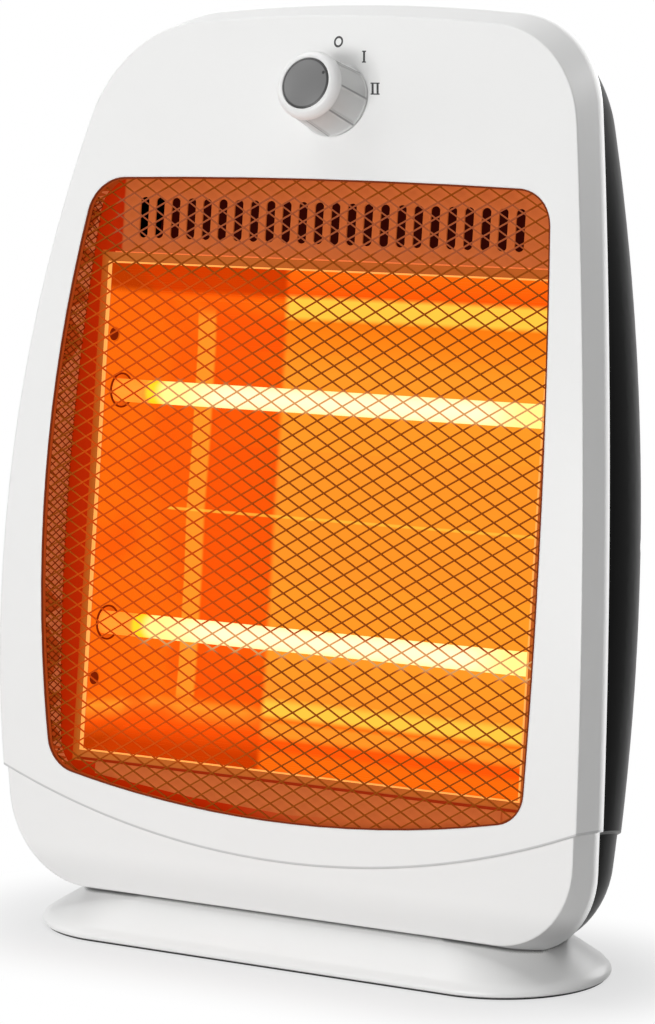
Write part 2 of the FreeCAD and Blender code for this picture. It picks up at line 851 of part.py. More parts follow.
def guard_arc_y(z):
    """Depth of the true bowed line that the guard follows."""
    reach = size.front_radius.value - size.wall.value - size.fit_gap.value
    behind = size.crown_y.value + size.front_radius.value
    return behind - math.sqrt(reach ** 2 - (z - size.crown_z.value) ** 2)


def guard_levels():
    """Heights at which the guard is bent."""
    lap = size.rim_lap.value
    low = size.window_bottom_z.value - lap
    high = size.window_top_z.value + lap
    bends = 6
    return [low + (high - low) * step / bends for step in range(bends + 1)]


def bowed_strip(path, direction, wide, back, thick):
    """Straight strip in front view that follows the bow: its edges at two depths behind the guard."""
    start, end = path
    levels = [z for z in guard_levels() if min(start.z, end.z) < z < max(start.z, end.z)]
    stops = sorted({0.0, 1.0} | {(z - start.z) / (end.z - start.z) for z in levels})
    line = [start + (end - start) * stop for stop in stops]
    near = [Vector(point.x, guard_y(point.z) + back, point.z) for point in line]
    far = [point + Vector(0, thick, 0) for point in reversed(near)]
    face = Part.Face(Part.makePolygon(near + far + near[:1]))
    across = Vector(-direction.z, 0, direction.x) * wide
    face.translate(across * -0.5)
    return face.extrude(across)


def make_guard(label, slope, back):
    """One layer of parallel wires welded to its half of the rim."""
    rim_outer = outline_face(f"{label}_outer", size.rim_lap)
    rim_inner = outline_face(f"{label}_inner", size.rim_bite)
    thick = size.wire.value
    levels = guard_levels()
    near = [Vector(0, guard_y(z) + back, z) for z in levels]
    far = [point + Vector(0, thick, 0) for point in reversed(near)]
    half = size.window_half.value + size.rim_lap.value + size.wire.value
    slab = Part.Face(Part.makePolygon(near + far + near[:1]))
    slab.translate(Vector(-half, 0, 0))
    slab = slab.extrude(Vector(2 * half, 0, 0))
    through = Vector(0, -size.crown_y.value * 4, 0)
    ring = rim_outer.extrude(through).cut(rim_inner.extrude(through)).common(slab)
    direction = Vector(size.mesh_wide.value, 0, slope * size.mesh_high.value)
    direction.normalize()
    middle = (size.window_top_z.value + size.window_bottom_z.value) / 2
    reach = size.window_top_z.value
    bite = (size.rim_bite.value + size.rim_lap.value) / 2
    field = outline_face(f"{label}_field", sized(bite))
    lowest = middle - reach
    count = int(2 * reach / size.mesh_high.value)
    wires = []
    for index in range(count):
        centre = Vector(0, field.BoundBox.YMin, lowest + index * size.mesh_high.value)
        line = Part.makeLine(centre - direction * reach, centre + direction * reach).common(field)
        for edge in line.Edges:
            if edge.Length > size.mesh_wide.value / 2:
                ends = [vertex.Point for vertex in edge.Vertexes]
                wires.append(bowed_strip(ends, direction, thick, back, thick))
    target = doc.addObject("Part::Feature", label)
    target.Shape = ring.fuse(wires).removeSplitter()
    return lean_back(keep(target, label))


def outline_face(name, outset):
    """Flat face of the window's outline, grown by an outset."""
    sketch = outline_sketch(name, size.crown_y * 2, window_form(outset))
    doc.recompute()
    return Part.Face(sketch.Shape.Wires[0])


# Reflector
def trough_points(offset):
    """Side view of the folded reflector: two troughs that meet at a ridge."""
    middle = (size.reflector_top_z + size.reflector_bottom_z) / 2
    upper = [
        (0, size.reflector_top_z + offset),
        (size.trough_bend_y, size.reflector_top_z - size.trough_bend_drop + offset),
        (size.reflector_depth + offset, size.reflector_top_z - size.trough_back_drop + offset / 2),
        (size.reflector_depth + offset, middle + size.ridge_rise),
        (size.ridge_y + offset, middle),
    ]
    lower = [(y, 2 * middle - z) for y, z in reversed(upper[:-1])]
    return upper + lower


def trough_block(name, offset, fore):
    """Solid that fills the reflector to its sheet's inside, or outside with an offset."""
    points = trough_points(offset)
    if fore is not None:
        points = [(fore, points[0][1])] + points + [(fore, points[-1][1])]
    length = 2 * (size.reflector_half + size.wall)
    profile = polygon_prism(f"{name}_profile", points, length, (-length / 2, 0, 0), FACING_RIGHT)
    front = fore if fore is not None else sized(0)
    flare = (size.reflector_half - size.reflector_back_half) / size.reflector_depth
    far = size.reflector_depth + size.wall
    wide = size.reflector_half + offset - flare * front
    narrow = size.reflector_half + offset - flare * far
    plan = polygon_prism(f"{name}_plan", [(-wide, front), (wide, front), (narrow, far), (-narrow, far)],
                         size.reflector_top_z, (0, 0, size.reflector_bottom_z / 2), FACING_UP)
    return common(name, profile, plan)


def make_reflector():
    """Bright folded sheet with a flange, tube holes and rivet holes."""
    lip = size.flange_lip
    tall = size.reflector_top_z - size.reflector_bottom_z + 2 * lip
    flange = box("flange", (-(size.reflector_half + lip), flange_front_y, size.reflector_bottom_z - lip),
                 (2 * (size.reflector_half + lip), size.sheet, tall))
    solids = [trough_block("reflector_outside", size.sheet, None), flange]
    holes = [trough_block("reflector_inside", sized(0), flange_front_y - size.sheet)]
    long = 2 * (size.reflector_half + size.wall)
    for name, z in TUBES:
        holes.append(rod(f"tube_hole_{name}", size.tube_hole / 2, long,
                         (-long / 2, size.tube_y, z), (1, 0, 0)))
    for name, z in (("upper", size.rivet_upper_z), ("lower", size.rivet_lower_z)):
        holes.append(rod(f"rivet_hole_{name}", size.rivet_hole / 2, long,
                         (-long / 2, size.rivet_hole_y + size.sheet, z), (1, 0, 0)))
    return lean_back(keep(cut("reflector", fuse("reflector_sheet", *solids), *holes), "reflector"))


def make_surround():
    """Sheet behind the reflector's flange that closes the casing round it; it is open behind the slots."""
    outline = outline_sketch("surround_outline", flange_back_y, window_form(size.surround_lap))
    solids = [extrude("surround_blank", outline, (0, 1, 0), size.sheet)]
    for index, z in enumerate((size.ear_upper_z, size.ear_lower_z)):
        solids.append(box(f"ear_{index}", (-size.ear_reach, flange_back_y, z - size.ear_height / 2),
                          (2 * size.ear_reach, size.sheet, size.ear_height)))
    room = size.sheet + size.fit_gap
    half = size.reflector_half + room
    tall = size.reflector_top_z - size.reflector_bottom_z + 2 * room
    holes = [box("surround_hole", (-half, -size.sheet, size.reflector_bottom_z - room),
                 (2 * half, 3 * size.sheet, tall))]
    vent_half = (size.slot_span + size.slot_wide) / 2 + size.slot_margin
    vent_tall = size.slot_high + 2 * size.slot_margin
    holes.append(box("surround_vent", (-vent_half, -size.sheet, size.slot_z - vent_tall / 2),
                     (2 * vent_half, 3 * size.sheet, vent_tall)))
    for index, (x, z) in enumerate(EARS):
        holes.append(rod(f"ear_hole_{index}", size.screw_hole / 2, 3 * size.sheet,
                         (x, -size.sheet, z), (0, 1, 0)))
    surround = cut("reflector_surround", fuse("surround_sheet", *solids), *holes)
    return lean_back(keep(surround, "reflector_surround"))


def make_panels():
    """Slotted panel above the reflector and plain panel below it."""
    low = size.reflector_top_z + size.panel_lap
    high = size.slot_panel_top_z
    half = size.panel_half
    shoulder = half - size.panel_corner_wide
    drop = high - size.panel_corner_high

    def draw_slot_panel(sketch):
        draw_polygon(sketch, [(-half, low), (half, low), (half, drop), (shoulder, high), (-shoulder, high),
                              (-half, drop)])
        pitch = size.slot_span / (size.slot_count - 1)
        for index in range(int(size.slot_count.value)):
            x = pitch * index - size.slot_span / 2
            draw_slot(sketch, x, size.slot_z, size.slot_wide / 2, size.slot_high)

    at = (0, flange_front_y, 0)
    slotted = prism("slot_panel", draw_slot_panel, size.panel_sheet, at, FACING_FRONT)
    lean_back(keep(slotted, "slot_panel"))
    high = size.reflector_bottom_z - size.panel_lap
    low = size.window_bottom_z + size.lower_panel_rise
    half = size.lower_panel_half
    rise = size.window_bottom_corner
    points = [(-half, high), (-half, low + rise / 2), (-half / 2, low + size.panel_lap / 2), (0, low),
              (half / 2, low + size.panel_lap / 2), (half, low + rise / 2), (half, high)]
    lower = polygon_prism("lower_panel", points, size.panel_sheet, at, FACING_FRONT)
    lean_back(keep(lower, "lower_panel"))


def draw_slot(sketch, x, z, radius, high):
    """Upright slot with round ends."""
    first = sketch.GeometryCount
    run = high / 2 - radius
    left, right = x.value - radius.value, x.value + radius.value
    bottom, top = z.value - run.value, z.value + run.value
    sketch.addGeometry([
        Part.LineSegment(Vector(right, bottom, 0), Vector(right, top, 0)),
        arc_between(Vector(x.value, top, 0), radius.value, 0, math.pi),
        Part.LineSegment(Vector(left, top, 0), Vector(left, bottom, 0)),
        arc_between(Vector(x.value, bottom, 0), radius.value, math.pi, 2 * math.pi),
    ])
    for index in range(4):
        sketch.addConstraint(Sketcher.Constraint("Tangent", first + index, 2, first + (index + 1) % 4, 1))
    fix_radius(sketch, first + 1, radius)
    fix_point(sketch, first + 1, 3, x, z + run)
    fix_point(sketch, first + 3, 3, x, z - run)


# Heating tubes
def make_tubes():
    """Quartz tubes with their coils and ceramic ends, and the brackets that carry them."""
    tube = ring_profile(size.tube_bore / 2, size.tube_outer / 2, 0, 2 * size.tube_half)
    coil = ring_profile(size.coil_bore / 2, size.coil_outer / 2, 0, 2 * size.coil_half)
    bore = size.tube_outer / 2 + size.cap_clear
    stop = size.cap_grip + size.cap_clear
    bevel = size.cap_clear * 5
    outer = size.cap_outer / 2
    pin = size.pin_outer / 2
    pin_end = size.cap_length + size.pin_length
    end = [(bore, 0), (outer, 0), (outer, size.cap_length - bevel), (outer - bevel, size.cap_length),
           (pin, size.cap_length), (pin, pin_end), (0, pin_end), (0, stop), (bore, stop)]
    for name, z in TUBES:
        rows = [(f"quartz_tube_{name}", tube, -size.tube_half, AXIS_RIGHT),
                (f"heating_coil_{name}", coil, -size.coil_half, AXIS_RIGHT),
                (f"ceramic_end_{name}_right", end, size.tube_half - size.cap_grip, AXIS_RIGHT),
                (f"ceramic_end_{name}_left", end, size.cap_grip - size.tube_half, AXIS_LEFT)]
        for label, profile, x, axis in rows:
            lean_back(keep(turned(label, profile, (x, size.tube_y, z), axis), label))
    make_brackets()


def make_brackets():
    """Folded bracket on each side of the reflector, with holes for the ceramic ends."""
    top = size.tube_upper_z + size.bracket_over
    bottom = size.tube_lower_z - size.bracket_over
    plate = size.bracket_x
    fold = size.bracket_sheet
    root_x = size.reflector_half + size.sheet + size.cap_clear
    back = size.bracket_fore_y + size.bracket_deep
    for side, sign in (("right", 1), ("left", -1)):
        points = [(root_x, bottom), (plate + fold, bottom), (plate + fold, top), (root_x, top),
                  (root_x, top - fold), (plate, top - fold), (plate, bottom + fold), (root_x, bottom + fold)]
        points = [(sign * x, z) for x, z in points]
        strip = polygon_prism(f"bracket_strip_{side}", points, size.bracket_deep, (0, back, 0), FACING_FRONT)
        holes = []
        for name, z in TUBES:
            at = (sign * (plate - fold), size.tube_y, z)
            holes.append(rod(f"bracket_hole_{side}_{name}", size.cap_outer / 2 + size.cap_clear, 3 * fold, at,
                             (sign, 0, 0)))
        label = f"tube_bracket_{side}"
        lean_back(keep(cut(label, strip, *holes), label))


# Control knob and rotary switch
def make_knob():
    """Knob turned from a profile, with grooves that divide its side into grip panels, and its cap."""
    bore = size.shaft_outer / 2 + size.shaft_clear
    lift = size.knob_lift
    top = size.knob_height
    seat = top - size.cap_thick
    recess = size.cap_radius + size.shaft_clear
    hollow = size.knob_hollow
    deep = size.knob_hollow_deep
    grip_end = deep + size.shaft_grip
    profile = [(bore, deep), (hollow, deep), (hollow, lift), (size.knob_radius, lift),
               (size.knob_barrel, top - size.knob_rim), (recess + size.knob_rim / 2, top), (recess, top),
               (recess, seat), (0, seat), (0, grip_end), (bore, grip_end)]
    knob = knob_turned("knob", profile, sized(0))
    sketch = knob.newObject("Sketcher::SketchObject", "knob_groove_sketch")
    sketch.AttachmentSupport = sketch_of(knob).AttachmentSupport
    sketch.MapMode = "FlatFace"
    groove_start = lift + size.knob_groove * 4
    place(sketch, along_knob(groove_start), panel_turn, "AttachmentOffset")
    tilt_with_panel(sketch, 90)
    wide = size.knob_groove_wide / 2
    inner = size.knob_barrel - size.knob_groove
    outer = size.knob_radius + size.knob_groove
    draw_polygon(sketch, [(-wide, inner), (wide, inner), (wide, outer), (-wide, outer)])
    groove = knob.newObject("PartDesign::Pocket", "knob_groove")
    groove.Profile = sketch
    groove.Reversed = True
    bind(groove, "Length", top - size.knob_rim - groove_start)
    doc.recompute()
    pattern = knob.newObject("PartDesign::PolarPattern", "knob_grooves")
    pattern.Originals = [groove]
    pattern.Axis = (sketch_of(knob), ["V_Axis"])
    pattern.Angle = 360
    bind(pattern, "Occurrences", size.knob_panels)
    knob.Tip = pattern
    lean_back(keep(knob, "knob"))
    dish = size.cap_dish
    rim = size.cap_radius
    cap = [(0, seat), (rim, seat), (rim, top - dish), (rim - 2 * dish, top), (0, top)]
    lean_back(keep(knob_turned("knob_cap", cap, sized(0)), "knob_cap"))


def make_switch():
    """Switch spindle, the switch behind the panel, and the nut that holds the switch to the panel."""
    spindle = size.shaft_outer / 2
    tip = size.knob_hollow_deep + size.shaft_grip - size.fit_gap
    inside = -size.switch_deep / 2
    profile = [(0, inside), (spindle, inside), (spindle, tip), (0, tip)]
    shaft = knob_turned("switch_spindle", profile, sized(0))
    lean_back(keep(shaft, "switch_spindle"))
    ring = size.bushing_outer / 2
    clear = spindle + 2 * size.shaft_clear
    front = size.nut_thick + 2 * size.fit_gap
    back = -size.wall - size.fit_gap
    bushing = knob_turned("switch_bushing", ring_profile(clear, ring, back - size.wall, front), sized(0))
    wide, high = size.switch_wide / 2, size.switch_high / 2
    corners = [(-wide, -high), (wide, -high), (wide, high), (-wide, high)]
    case = knob_prism("switch_case", lambda sketch: draw_polygon(sketch, corners), size.switch_deep,
                      back - size.switch_deep)
    socket_profile = ring_profile(sized(0), clear, inside - size.fit_gap, front)
    socket = knob_turned("switch_socket", socket_profile, sized(0))
    lean_back(keep(cut("rotary_switch", fuse("switch_solid", case, bushing), socket), "rotary_switch"))
    corner = size.nut_flats / 2 / cosine(sized(30))

    def draw_nut(sketch):
        turns = [sized(60 * k) for k in range(6)]
        draw_polygon(sketch, [(corner * cosine(turn), corner * sine(turn)) for turn in turns])
        draw_circle(sketch, 0, 0, ring + size.shaft_clear)

    lean_back(keep(knob_prism("switch_nut", draw_nut, size.nut_thick, sized(0)), "switch_nut"))


# Safety parts and wiring points
def make_inner_parts():
    """Thermal cut-out on the reflector's back, terminal block and cord gland."""
    back = size.reflector_depth + size.sheet
    upper_back = (size.reflector_top_z - size.trough_back_drop + size.tube_upper_z - size.bracket_over) / 2
    half = size.cutout_outer / 2
    blade = half / 4
    tall = size.cutout_tall
    profile = [(0, 0), (half, 0), (half, tall / 2), (half * 3 / 4, tall / 2), (half * 3 / 4, tall), (0, tall)]
    cutout = turned("cutout_can", profile, (size.cutout_x, back, upper_back), AXIS_BACK)
    blades = []
    for index, side in enumerate((-1, 1)):
        at = (size.cutout_x + side * half / 2 - blade, back + tall / 2, upper_back - blade / 4)
        blades.append(box(f"cutout_blade_{index}", at, (2 * blade, tall, blade / 2)))
    lean_back(keep(fuse("thermal_cutout", cutout, *blades), "thermal_cutout"))
    rest = size.seat_z + size.seat_gap + size.wall + size.fit_gap
    low = (size.block_x - size.block_long / 2, size.block_y - size.block_deep / 2, rest)
    block = box("block_case", low, (size.block_long, size.block_deep, size.block_tall))
    holes = []
    for index in range(3):
        x = size.block_x + size.block_pitch * (index - 1)
        holes.append(rod(f"block_entry_{index}", size.pin_outer / 2, size.block_deep + size.wall,
                         (x, low[1] - size.wall / 2, rest + size.block_tall / 2), (0, 1, 0)))
        holes.append(rod(f"block_screw_{index}", size.screw_shank / 2, size.block_tall,
                         (x, size.block_y, rest + size.block_tall / 2), (0, 0, 1)))
    lean_back(keep(cut("terminal_block", block, *holes), "terminal_block"))
    neck, bore = size.gland_outer / 2, size.gland_bore / 2
    flange = size.gland_flange / 2
    outside = size.rear_y
    inside = outside - 2 * size.wall - size.gland_flange_thick
    lip = neck + size.wall / 2
    profile = [(bore, inside - outside), (neck, inside - outside), (neck, 0), (flange, 0),
               (flange, size.gland_flange_thick / 2), (lip, size.gland_flange_thick * 2),
               (bore, size.gland_flange_thick * 2)]
    gland = turned("cord_gland", profile, (size.gland_x, outside, size.gland_z), AXIS_BACK)
    lean_back(keep(gland, "cord_gland"))


# Screws
def make_screws():
    """Screws of the casing, the reflector, the foot and the base plate, one group each."""
    case = []
    for index, (x, z) in enumerate(CASE_SCREWS):
        parting = front_y(z, size.band_depth) + size.parting_gap
        seat = parting + size.boss_floor
        case.append(screw(f"case_screw_{index}", (x, seat, z), AXIS_FRONT, size.boss_floor + size.screw_bite))
    lean_back(keep(group("case_screws", case), "case_screws"))
    ears = [screw(f"ear_screw_{index}", (x, size.sheet, z), AXIS_FRONT, size.sheet + size.screw_bite)
            for index, (x, z) in enumerate(EARS)]
    lean_back(keep(group("surround_screws", ears), "surround_screws"))
    under = size.seat_z - size.wall
    feet = [screw(f"foot_screw_{index}", (x, y, under), AXIS_UP, size.wall + size.screw_bite)
            for index, (x, y) in enumerate(FOOT_SCREWS)]
    lean_back(keep(group("foot_screws", feet), "foot_screws"))
    plate = [screw(f"plate_screw_{index}", (x, y, size.plate_z), AXIS_UP, size.plate_thick + size.foot_rim)
             for index, (x, y) in enumerate(POSTS)]
    keep(group("base_plate_screws", plate), "base_plate_screws")


POSTS = [(x, size.foot_y + side * size.post_y) for side in (1, -1) for x in (size.post_x, -size.post_x)]
PADS = [(x, size.foot_y + side * size.pad_y) for side in (1, -1) for x in (size.pad_x, -size.pad_x)]


# Foot
def racetrack(name, z, y, half, half_deep):
    """Long outline with full round ends, lying flat."""
    sketch = doc.addObject("Sketcher::SketchObject", name)
    place(sketch, (0, y, z))
    straight = half - half_deep
    x, r = straight.value, half_deep.value
    sketch.addGeometry([
        Part.LineSegment(Vector(-x, -r, 0), Vector(x, -r, 0)),
        arc_between(Vector(x, 0, 0), r, -math.pi / 2, math.pi / 2),
        Part.LineSegment(Vector(x, r, 0), Vector(-x, r, 0)),
        arc_between(Vector(-x, 0, 0), r, math.pi / 2, 3 * math.pi / 2),
    ])
    for index in range(4):
        sketch.addConstraint(Sketcher.Constraint("Tangent", index, 2, (index + 1) % 4, 1))
    fix_radius(sketch, 1, half_deep)
    fix_point(sketch, 1, 3, straight, 0)
    fix_point(sketch, 3, 3, -straight, 0)
    return sketch


def foot_block(name, inset, low):
    """Flared block of the foot: an upright rim, then a slope in to its top."""
    top_y = size.foot_y + size.foot_top_y
    half, half_deep = size.foot_half - inset, size.foot_half_deep - inset
    sections = [
        racetrack(f"{name}_floor", low, size.foot_y, half, half_deep),
        racetrack(f"{name}_rim", size.foot_rim, size.foot_y, half, half_deep),
        racetrack(f"{name}_top", size.foot_flare_z, top_y, size.foot_top_half - inset,
                  size.foot_top_half_deep - inset),
    ]
    return loft(name, sections, True)


def seat_block(name, lower):
    """Leaning block that fills everything above the casing's seat, or a distance below it."""
    long = 4 * size.foot_half
    block = box(f"{name}_box", (-long / 2, -long / 2, size.seat_z - lower), (long, long, long))
    return lean_back(group(name, [block]))


def make_foot():
    """Flared foot with a leaning seat, screw posts, and its base plate, pads and screws."""
    outside = cut("foot_outside", foot_block("foot_skin", sized(0), size.ground_gap),
                  seat_block("foot_seat", sized(0)))
    inside = cut("foot_inside", foot_block("foot_core", size.wall, sized(0)),
                 seat_block("foot_under", size.wall))
    shell = cut("foot_shell", outside, inside)
    plate_top = size.plate_z + size.plate_thick
    posts = [rod(f"foot_post_{index}", size.boss_outer / 2, size.foot_flare_z, (x, y, plate_top), (0, 0, 1))
             for index, (x, y) in enumerate(POSTS)]
    joined = fuse("foot_joined", shell, common("foot_posts", group("foot_post_group", posts), outside))
    holes = [rod(f"foot_post_pilot_{index}", pilot_radius, size.foot_rim + size.fit_gap,
                 (x, y, plate_top), (0, 0, 1)) for index, (x, y) in enumerate(POSTS)]
    well_y = size.foot_y + size.tip_y - size.tip_well_deep / 2
    well = box("foot_tip_well", (-size.tip_well_long / 2, well_y, plate_top),
               (size.tip_well_long, size.tip_well_deep, size.foot_flare_z))
    hole_z = size.seat_z - 2 * size.wall
    slanted = [rod(f"foot_screw_hole_{index}", size.screw_hole / 2, 3 * size.wall, (x, y, hole_z), (0, 0, 1))
               for index, (x, y) in enumerate(FOOT_SCREWS)]
    slanted = lean_back(group("foot_screw_holes", slanted))
    keep(cut("foot", joined, well, slanted, *holes), "foot")
    make_base_plate(plate_top)


def make_base_plate(plate_top):
    """Plate under the foot with its rubber pads and the posts of the tip-over switch."""
    inset = size.wall + size.fit_gap
    outline = racetrack("plate_outline", size.plate_z, size.foot_y, size.foot_half - inset,
                        size.foot_half_deep - inset)
    plate = extrude("plate_blank", outline, (0, 0, 1), size.plate_thick)
    tip_y = size.foot_y + size.tip_y
    posts = [rod(f"tip_post_{index}", size.tip_post_radius, size.tip_switch_z - size.plate_z,
                 (side * size.tip_post_x, tip_y, size.plate_z), (0, 0, 1))
             for index, side in enumerate((-1, 1))]
    holes = [rod("plunger_hole", size.plunger_radius + size.fit_gap, 3 * size.plate_thick,
                 (0, tip_y, size.plate_z - size.plate_thick), (0, 0, 1))]
    holes += [rod(f"plate_hole_{index}", size.screw_hole / 2, 3 * size.plate_thick,
                  (x, y, size.plate_z - size.plate_thick), (0, 0, 1)) for index, (x, y) in enumerate(POSTS)]
    keep(cut("base_plate", fuse("plate_and_posts", plate, *posts), *holes), "base_plate")
    bevel = size.plate_z / 4
    edge = size.pad_radius
    profile = [(0, 0), (edge - bevel, 0), (edge, bevel), (edge, size.plate_z), (0, size.plate_z)]
    pads = [turned(f"rubber_pad_{index}", profile, (x, y, 0), AXIS_UP) for index, (x, y) in enumerate(PADS)]
    keep(group("rubber_pads", pads), "rubber_pads")
    low = size.plunger_rest
    stem = size.plunger_radius
    tip = stem / 3
    collar_top = size.collar_z + size.collar_tall
    profile = [(0, low), (stem - tip, low), (stem, low + tip), (stem, size.collar_z),
               (size.plunger_collar, size.collar_z), (size.plunger_collar, collar_top), (stem, collar_top),
               (stem, size.plunger_tall), (0, size.plunger_tall)]
    keep(turned("tip_plunger", profile, (0, tip_y, 0), AXIS_UP), "tip_plunger")
    switch_y = tip_y - size.tip_switch_deep / 2
    switch = box("tip_switch_case", (-size.tip_switch_long / 2, switch_y, size.tip_switch_z),
                 (size.tip_switch_long, size.tip_switch_deep, size.tip_switch_tall))
    button_low = size.plunger_tall + size.plunger_rest
    button = rod("tip_button", size.tip_button_radius, size.tip_switch_z - button_low,
                 (0, tip_y, button_low), (0, 0, 1))
    lug_z = size.tip_switch_z + size.tip_switch_tall
    lug = size.tip_button_radius
    lugs = [box(f"tip_lug_{index}", (side * size.tip_post_x - lug, tip_y - size.sheet / 2, lug_z),
                (2 * lug, size.sheet, size.tip_switch_deep)) for index, side in enumerate((-1, 0, 1))]
    keep(fuse("tip_over_switch", switch, button, *lugs), "tip_over_switch")


make_front_shell()
make_rear_shell()
make_guard("guard_front_wires", 1, 0.0)
make_guard("guard_rear_wires", -1, size.wire.value + size.weld_gap.value)
make_reflector()
make_surround()
make_panels()
make_tubes()
make_knob()
make_switch()
make_inner_parts()
make_foot()
make_screws()
doc.recompute()

faults = [item.Label for item in doc.Objects if {"Invalid", "Error"} & set(item.State)]
faults += [piece.Label for piece in pieces if piece.Shape.isNull() or not piece.Shape.isValid()]
if faults:
    raise RuntimeError(f"these objects failed: {faults}")
os.makedirs("parts", exist_ok=True)
for piece in pieces:
    piece.Shape.exportStep(f"parts/{piece.Label}.step")
    print(piece.Label, len(piece.Shape.Solids), round(piece.Shape.Volume, 1))
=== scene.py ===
import json
import math

import bpy
from mathutils import Matrix, Vector


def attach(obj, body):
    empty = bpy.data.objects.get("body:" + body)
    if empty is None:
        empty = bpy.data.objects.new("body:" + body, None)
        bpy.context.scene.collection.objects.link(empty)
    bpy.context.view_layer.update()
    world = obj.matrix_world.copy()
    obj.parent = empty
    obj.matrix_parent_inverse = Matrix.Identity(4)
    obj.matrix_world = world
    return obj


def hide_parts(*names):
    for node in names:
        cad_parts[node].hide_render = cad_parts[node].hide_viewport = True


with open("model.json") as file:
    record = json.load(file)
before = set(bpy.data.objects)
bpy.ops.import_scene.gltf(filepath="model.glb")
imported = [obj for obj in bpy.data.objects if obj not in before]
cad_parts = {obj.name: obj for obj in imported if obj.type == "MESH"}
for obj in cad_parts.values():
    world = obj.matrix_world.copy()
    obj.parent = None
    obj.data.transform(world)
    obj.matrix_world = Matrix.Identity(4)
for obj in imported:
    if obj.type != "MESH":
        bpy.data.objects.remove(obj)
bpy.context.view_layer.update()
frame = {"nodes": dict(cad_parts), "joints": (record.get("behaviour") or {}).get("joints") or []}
nodes = frame["nodes"]
joints = {joint["name"]: joint for joint in frame["joints"]}
MM = 0.001

# The casing is drawn upright and leans back about the X axis; these give its frame and its bowed front
LEAN = math.radians(6.9)
CASING_Y = -52.73
CASING = Matrix.Translation((0, CASING_Y * MM, 0)) @ Matrix.Rotation(-LEAN, 4, "X")
BOW_RADIUS = 838.0
BOW_Y = 815.6
BOW_Z = 197.0

# The window: its half width at its widest height, its sill and head on the middle line, and how each edge bows:
# an edge moves inward or upward by the square of the distance from its middle over these lengths
WINDOW_HALF = 124.4
WINDOW_WIDEST = 178.0
WINDOW_SILL = 56.0
WINDOW_HEAD = 332.0
SIDE_BOW = 2100.0
SILL_BOW = 1040.0
HEAD_BOW = 6000.0

# The guard inside the window: the radius of its bow, and its mesh
GUARD_RADIUS = 835.3
MESH_WIDE = 11.5
MESH_HIGH = 6.6

# The reflector's mouth, its narrower back, and the heating tubes in it
MOUTH_HALF = 107.3
MOUTH_LOW = 79.4
MOUTH_HIGH = 290.8
BACK_HALF = 101.0
BACK_Y = 62.0
TUBE_Y = 10.3
TUBES = (("upper", 235.9), ("lower", 134.3))

# The foot's outline on the floor
FOOT_HALF = 134.2
FOOT_DEEP = 46.0
FOOT_Y = -22.73

# The skirt's curved step: its radius and its height on the middle line
STEP_RADIUS = 375.0
STEP_Z = 42.2

# The end of a zone that goes on past the part
FAR = 2000.0

# The knob's grip: its panels, the share of each that is groove, and its ends along the axis
KNOB_PANELS = 8
GROOVE_SHARE = 0.1
GRIP_LOW = 1.4
GRIP_HIGH = 20.6

# The knob turns about this frame: z points out of the front
KNOB_AXIS = Vector(joints["knob_turn"]["axis"])
KNOB_TURN = Matrix((Vector((1, 0, 0)), KNOB_AXIS.cross(Vector((1, 0, 0))), KNOB_AXIS)).transposed()
KNOB = Matrix.Translation(Vector(joints["knob_turn"]["pos_m"])) @ KNOB_TURN.to_4x4()


# Small tools

def linear(hex_colour):
    """sRGB hex to a linear colour with alpha."""
    parts = [int(hex_colour[i:i + 2], 16) / 255 for i in (1, 3, 5)]
    return [p / 12.92 if p <= 0.04045 else ((p + 0.055) / 1.055) ** 2.4 for p in parts] + [1.0]


def feed(tree, node, inputs):
    """Fill inputs of a node with values, or link them from nodes or sockets."""
    for name, value in inputs.items():
        if isinstance(value, bpy.types.Node):
            value = [socket for socket in value.outputs if not socket.is_unavailable][0]
        if isinstance(value, bpy.types.NodeSocket):
            tree.links.new(value, node.inputs[name])
        else:
            node.inputs[name].default_value = value


def add_node(tree, kind, settings=None, inputs=None):
    """Add a node; settings are its properties, inputs are values, or nodes or sockets to link from."""
    node = tree.nodes.new("ShaderNode" + kind)
    for name, value in (settings or {}).items():
        setattr(node, name, value)
    feed(tree, node, inputs or {})
    return node


# Settings that recur; of a node that mixes colours, input 0 is the share and inputs 6 and 7 are the colours
PLUS = {"operation": "ADD"}
MINUS = {"operation": "SUBTRACT"}
TIMES = {"operation": "MULTIPLY"}
LARGER = {"operation": "MAXIMUM"}
SIZE = {"operation": "ABSOLUTE"}
LENGTH = {"operation": "LENGTH"}
COLOURS = {"data_type": "RGBA"}
SMOOTH = {"interpolation_type": "SMOOTHSTEP"}
SHARP_EDGES = {"limit_method": "ANGLE", "angle_limit": math.radians(50)}
WHITE = "#F4F4F3"


def empty_tree(owner):
    """Node tree of a material or world, without nodes."""
    owner.use_nodes = True
    owner.node_tree.nodes.clear()
    return owner.node_tree


def new_material(name):
    """Material with a surface shader alone."""
    material = bpy.data.materials.new(name)
    tree = empty_tree(material)
    shader = add_node(tree, "BsdfPrincipled")
    add_node(tree, "OutputMaterial", None, {"Surface": shader})
    return material, tree, shader


def places(tree, frame_matrix):
    """Coordinates in the frame of a leaning or turned piece: the vector, and X, Y and Z by name."""
    place = add_node(tree, "TexCoord")
    turned = add_node(tree, "Mapping", {"vector_type": "TEXTURE"}, {
        "Vector": place.outputs["Object"], "Location": frame_matrix.translation, "Rotation": frame_matrix.to_euler()})
    parts = add_node(tree, "SeparateXYZ", None, {"Vector": turned})
    return turned, parts.outputs


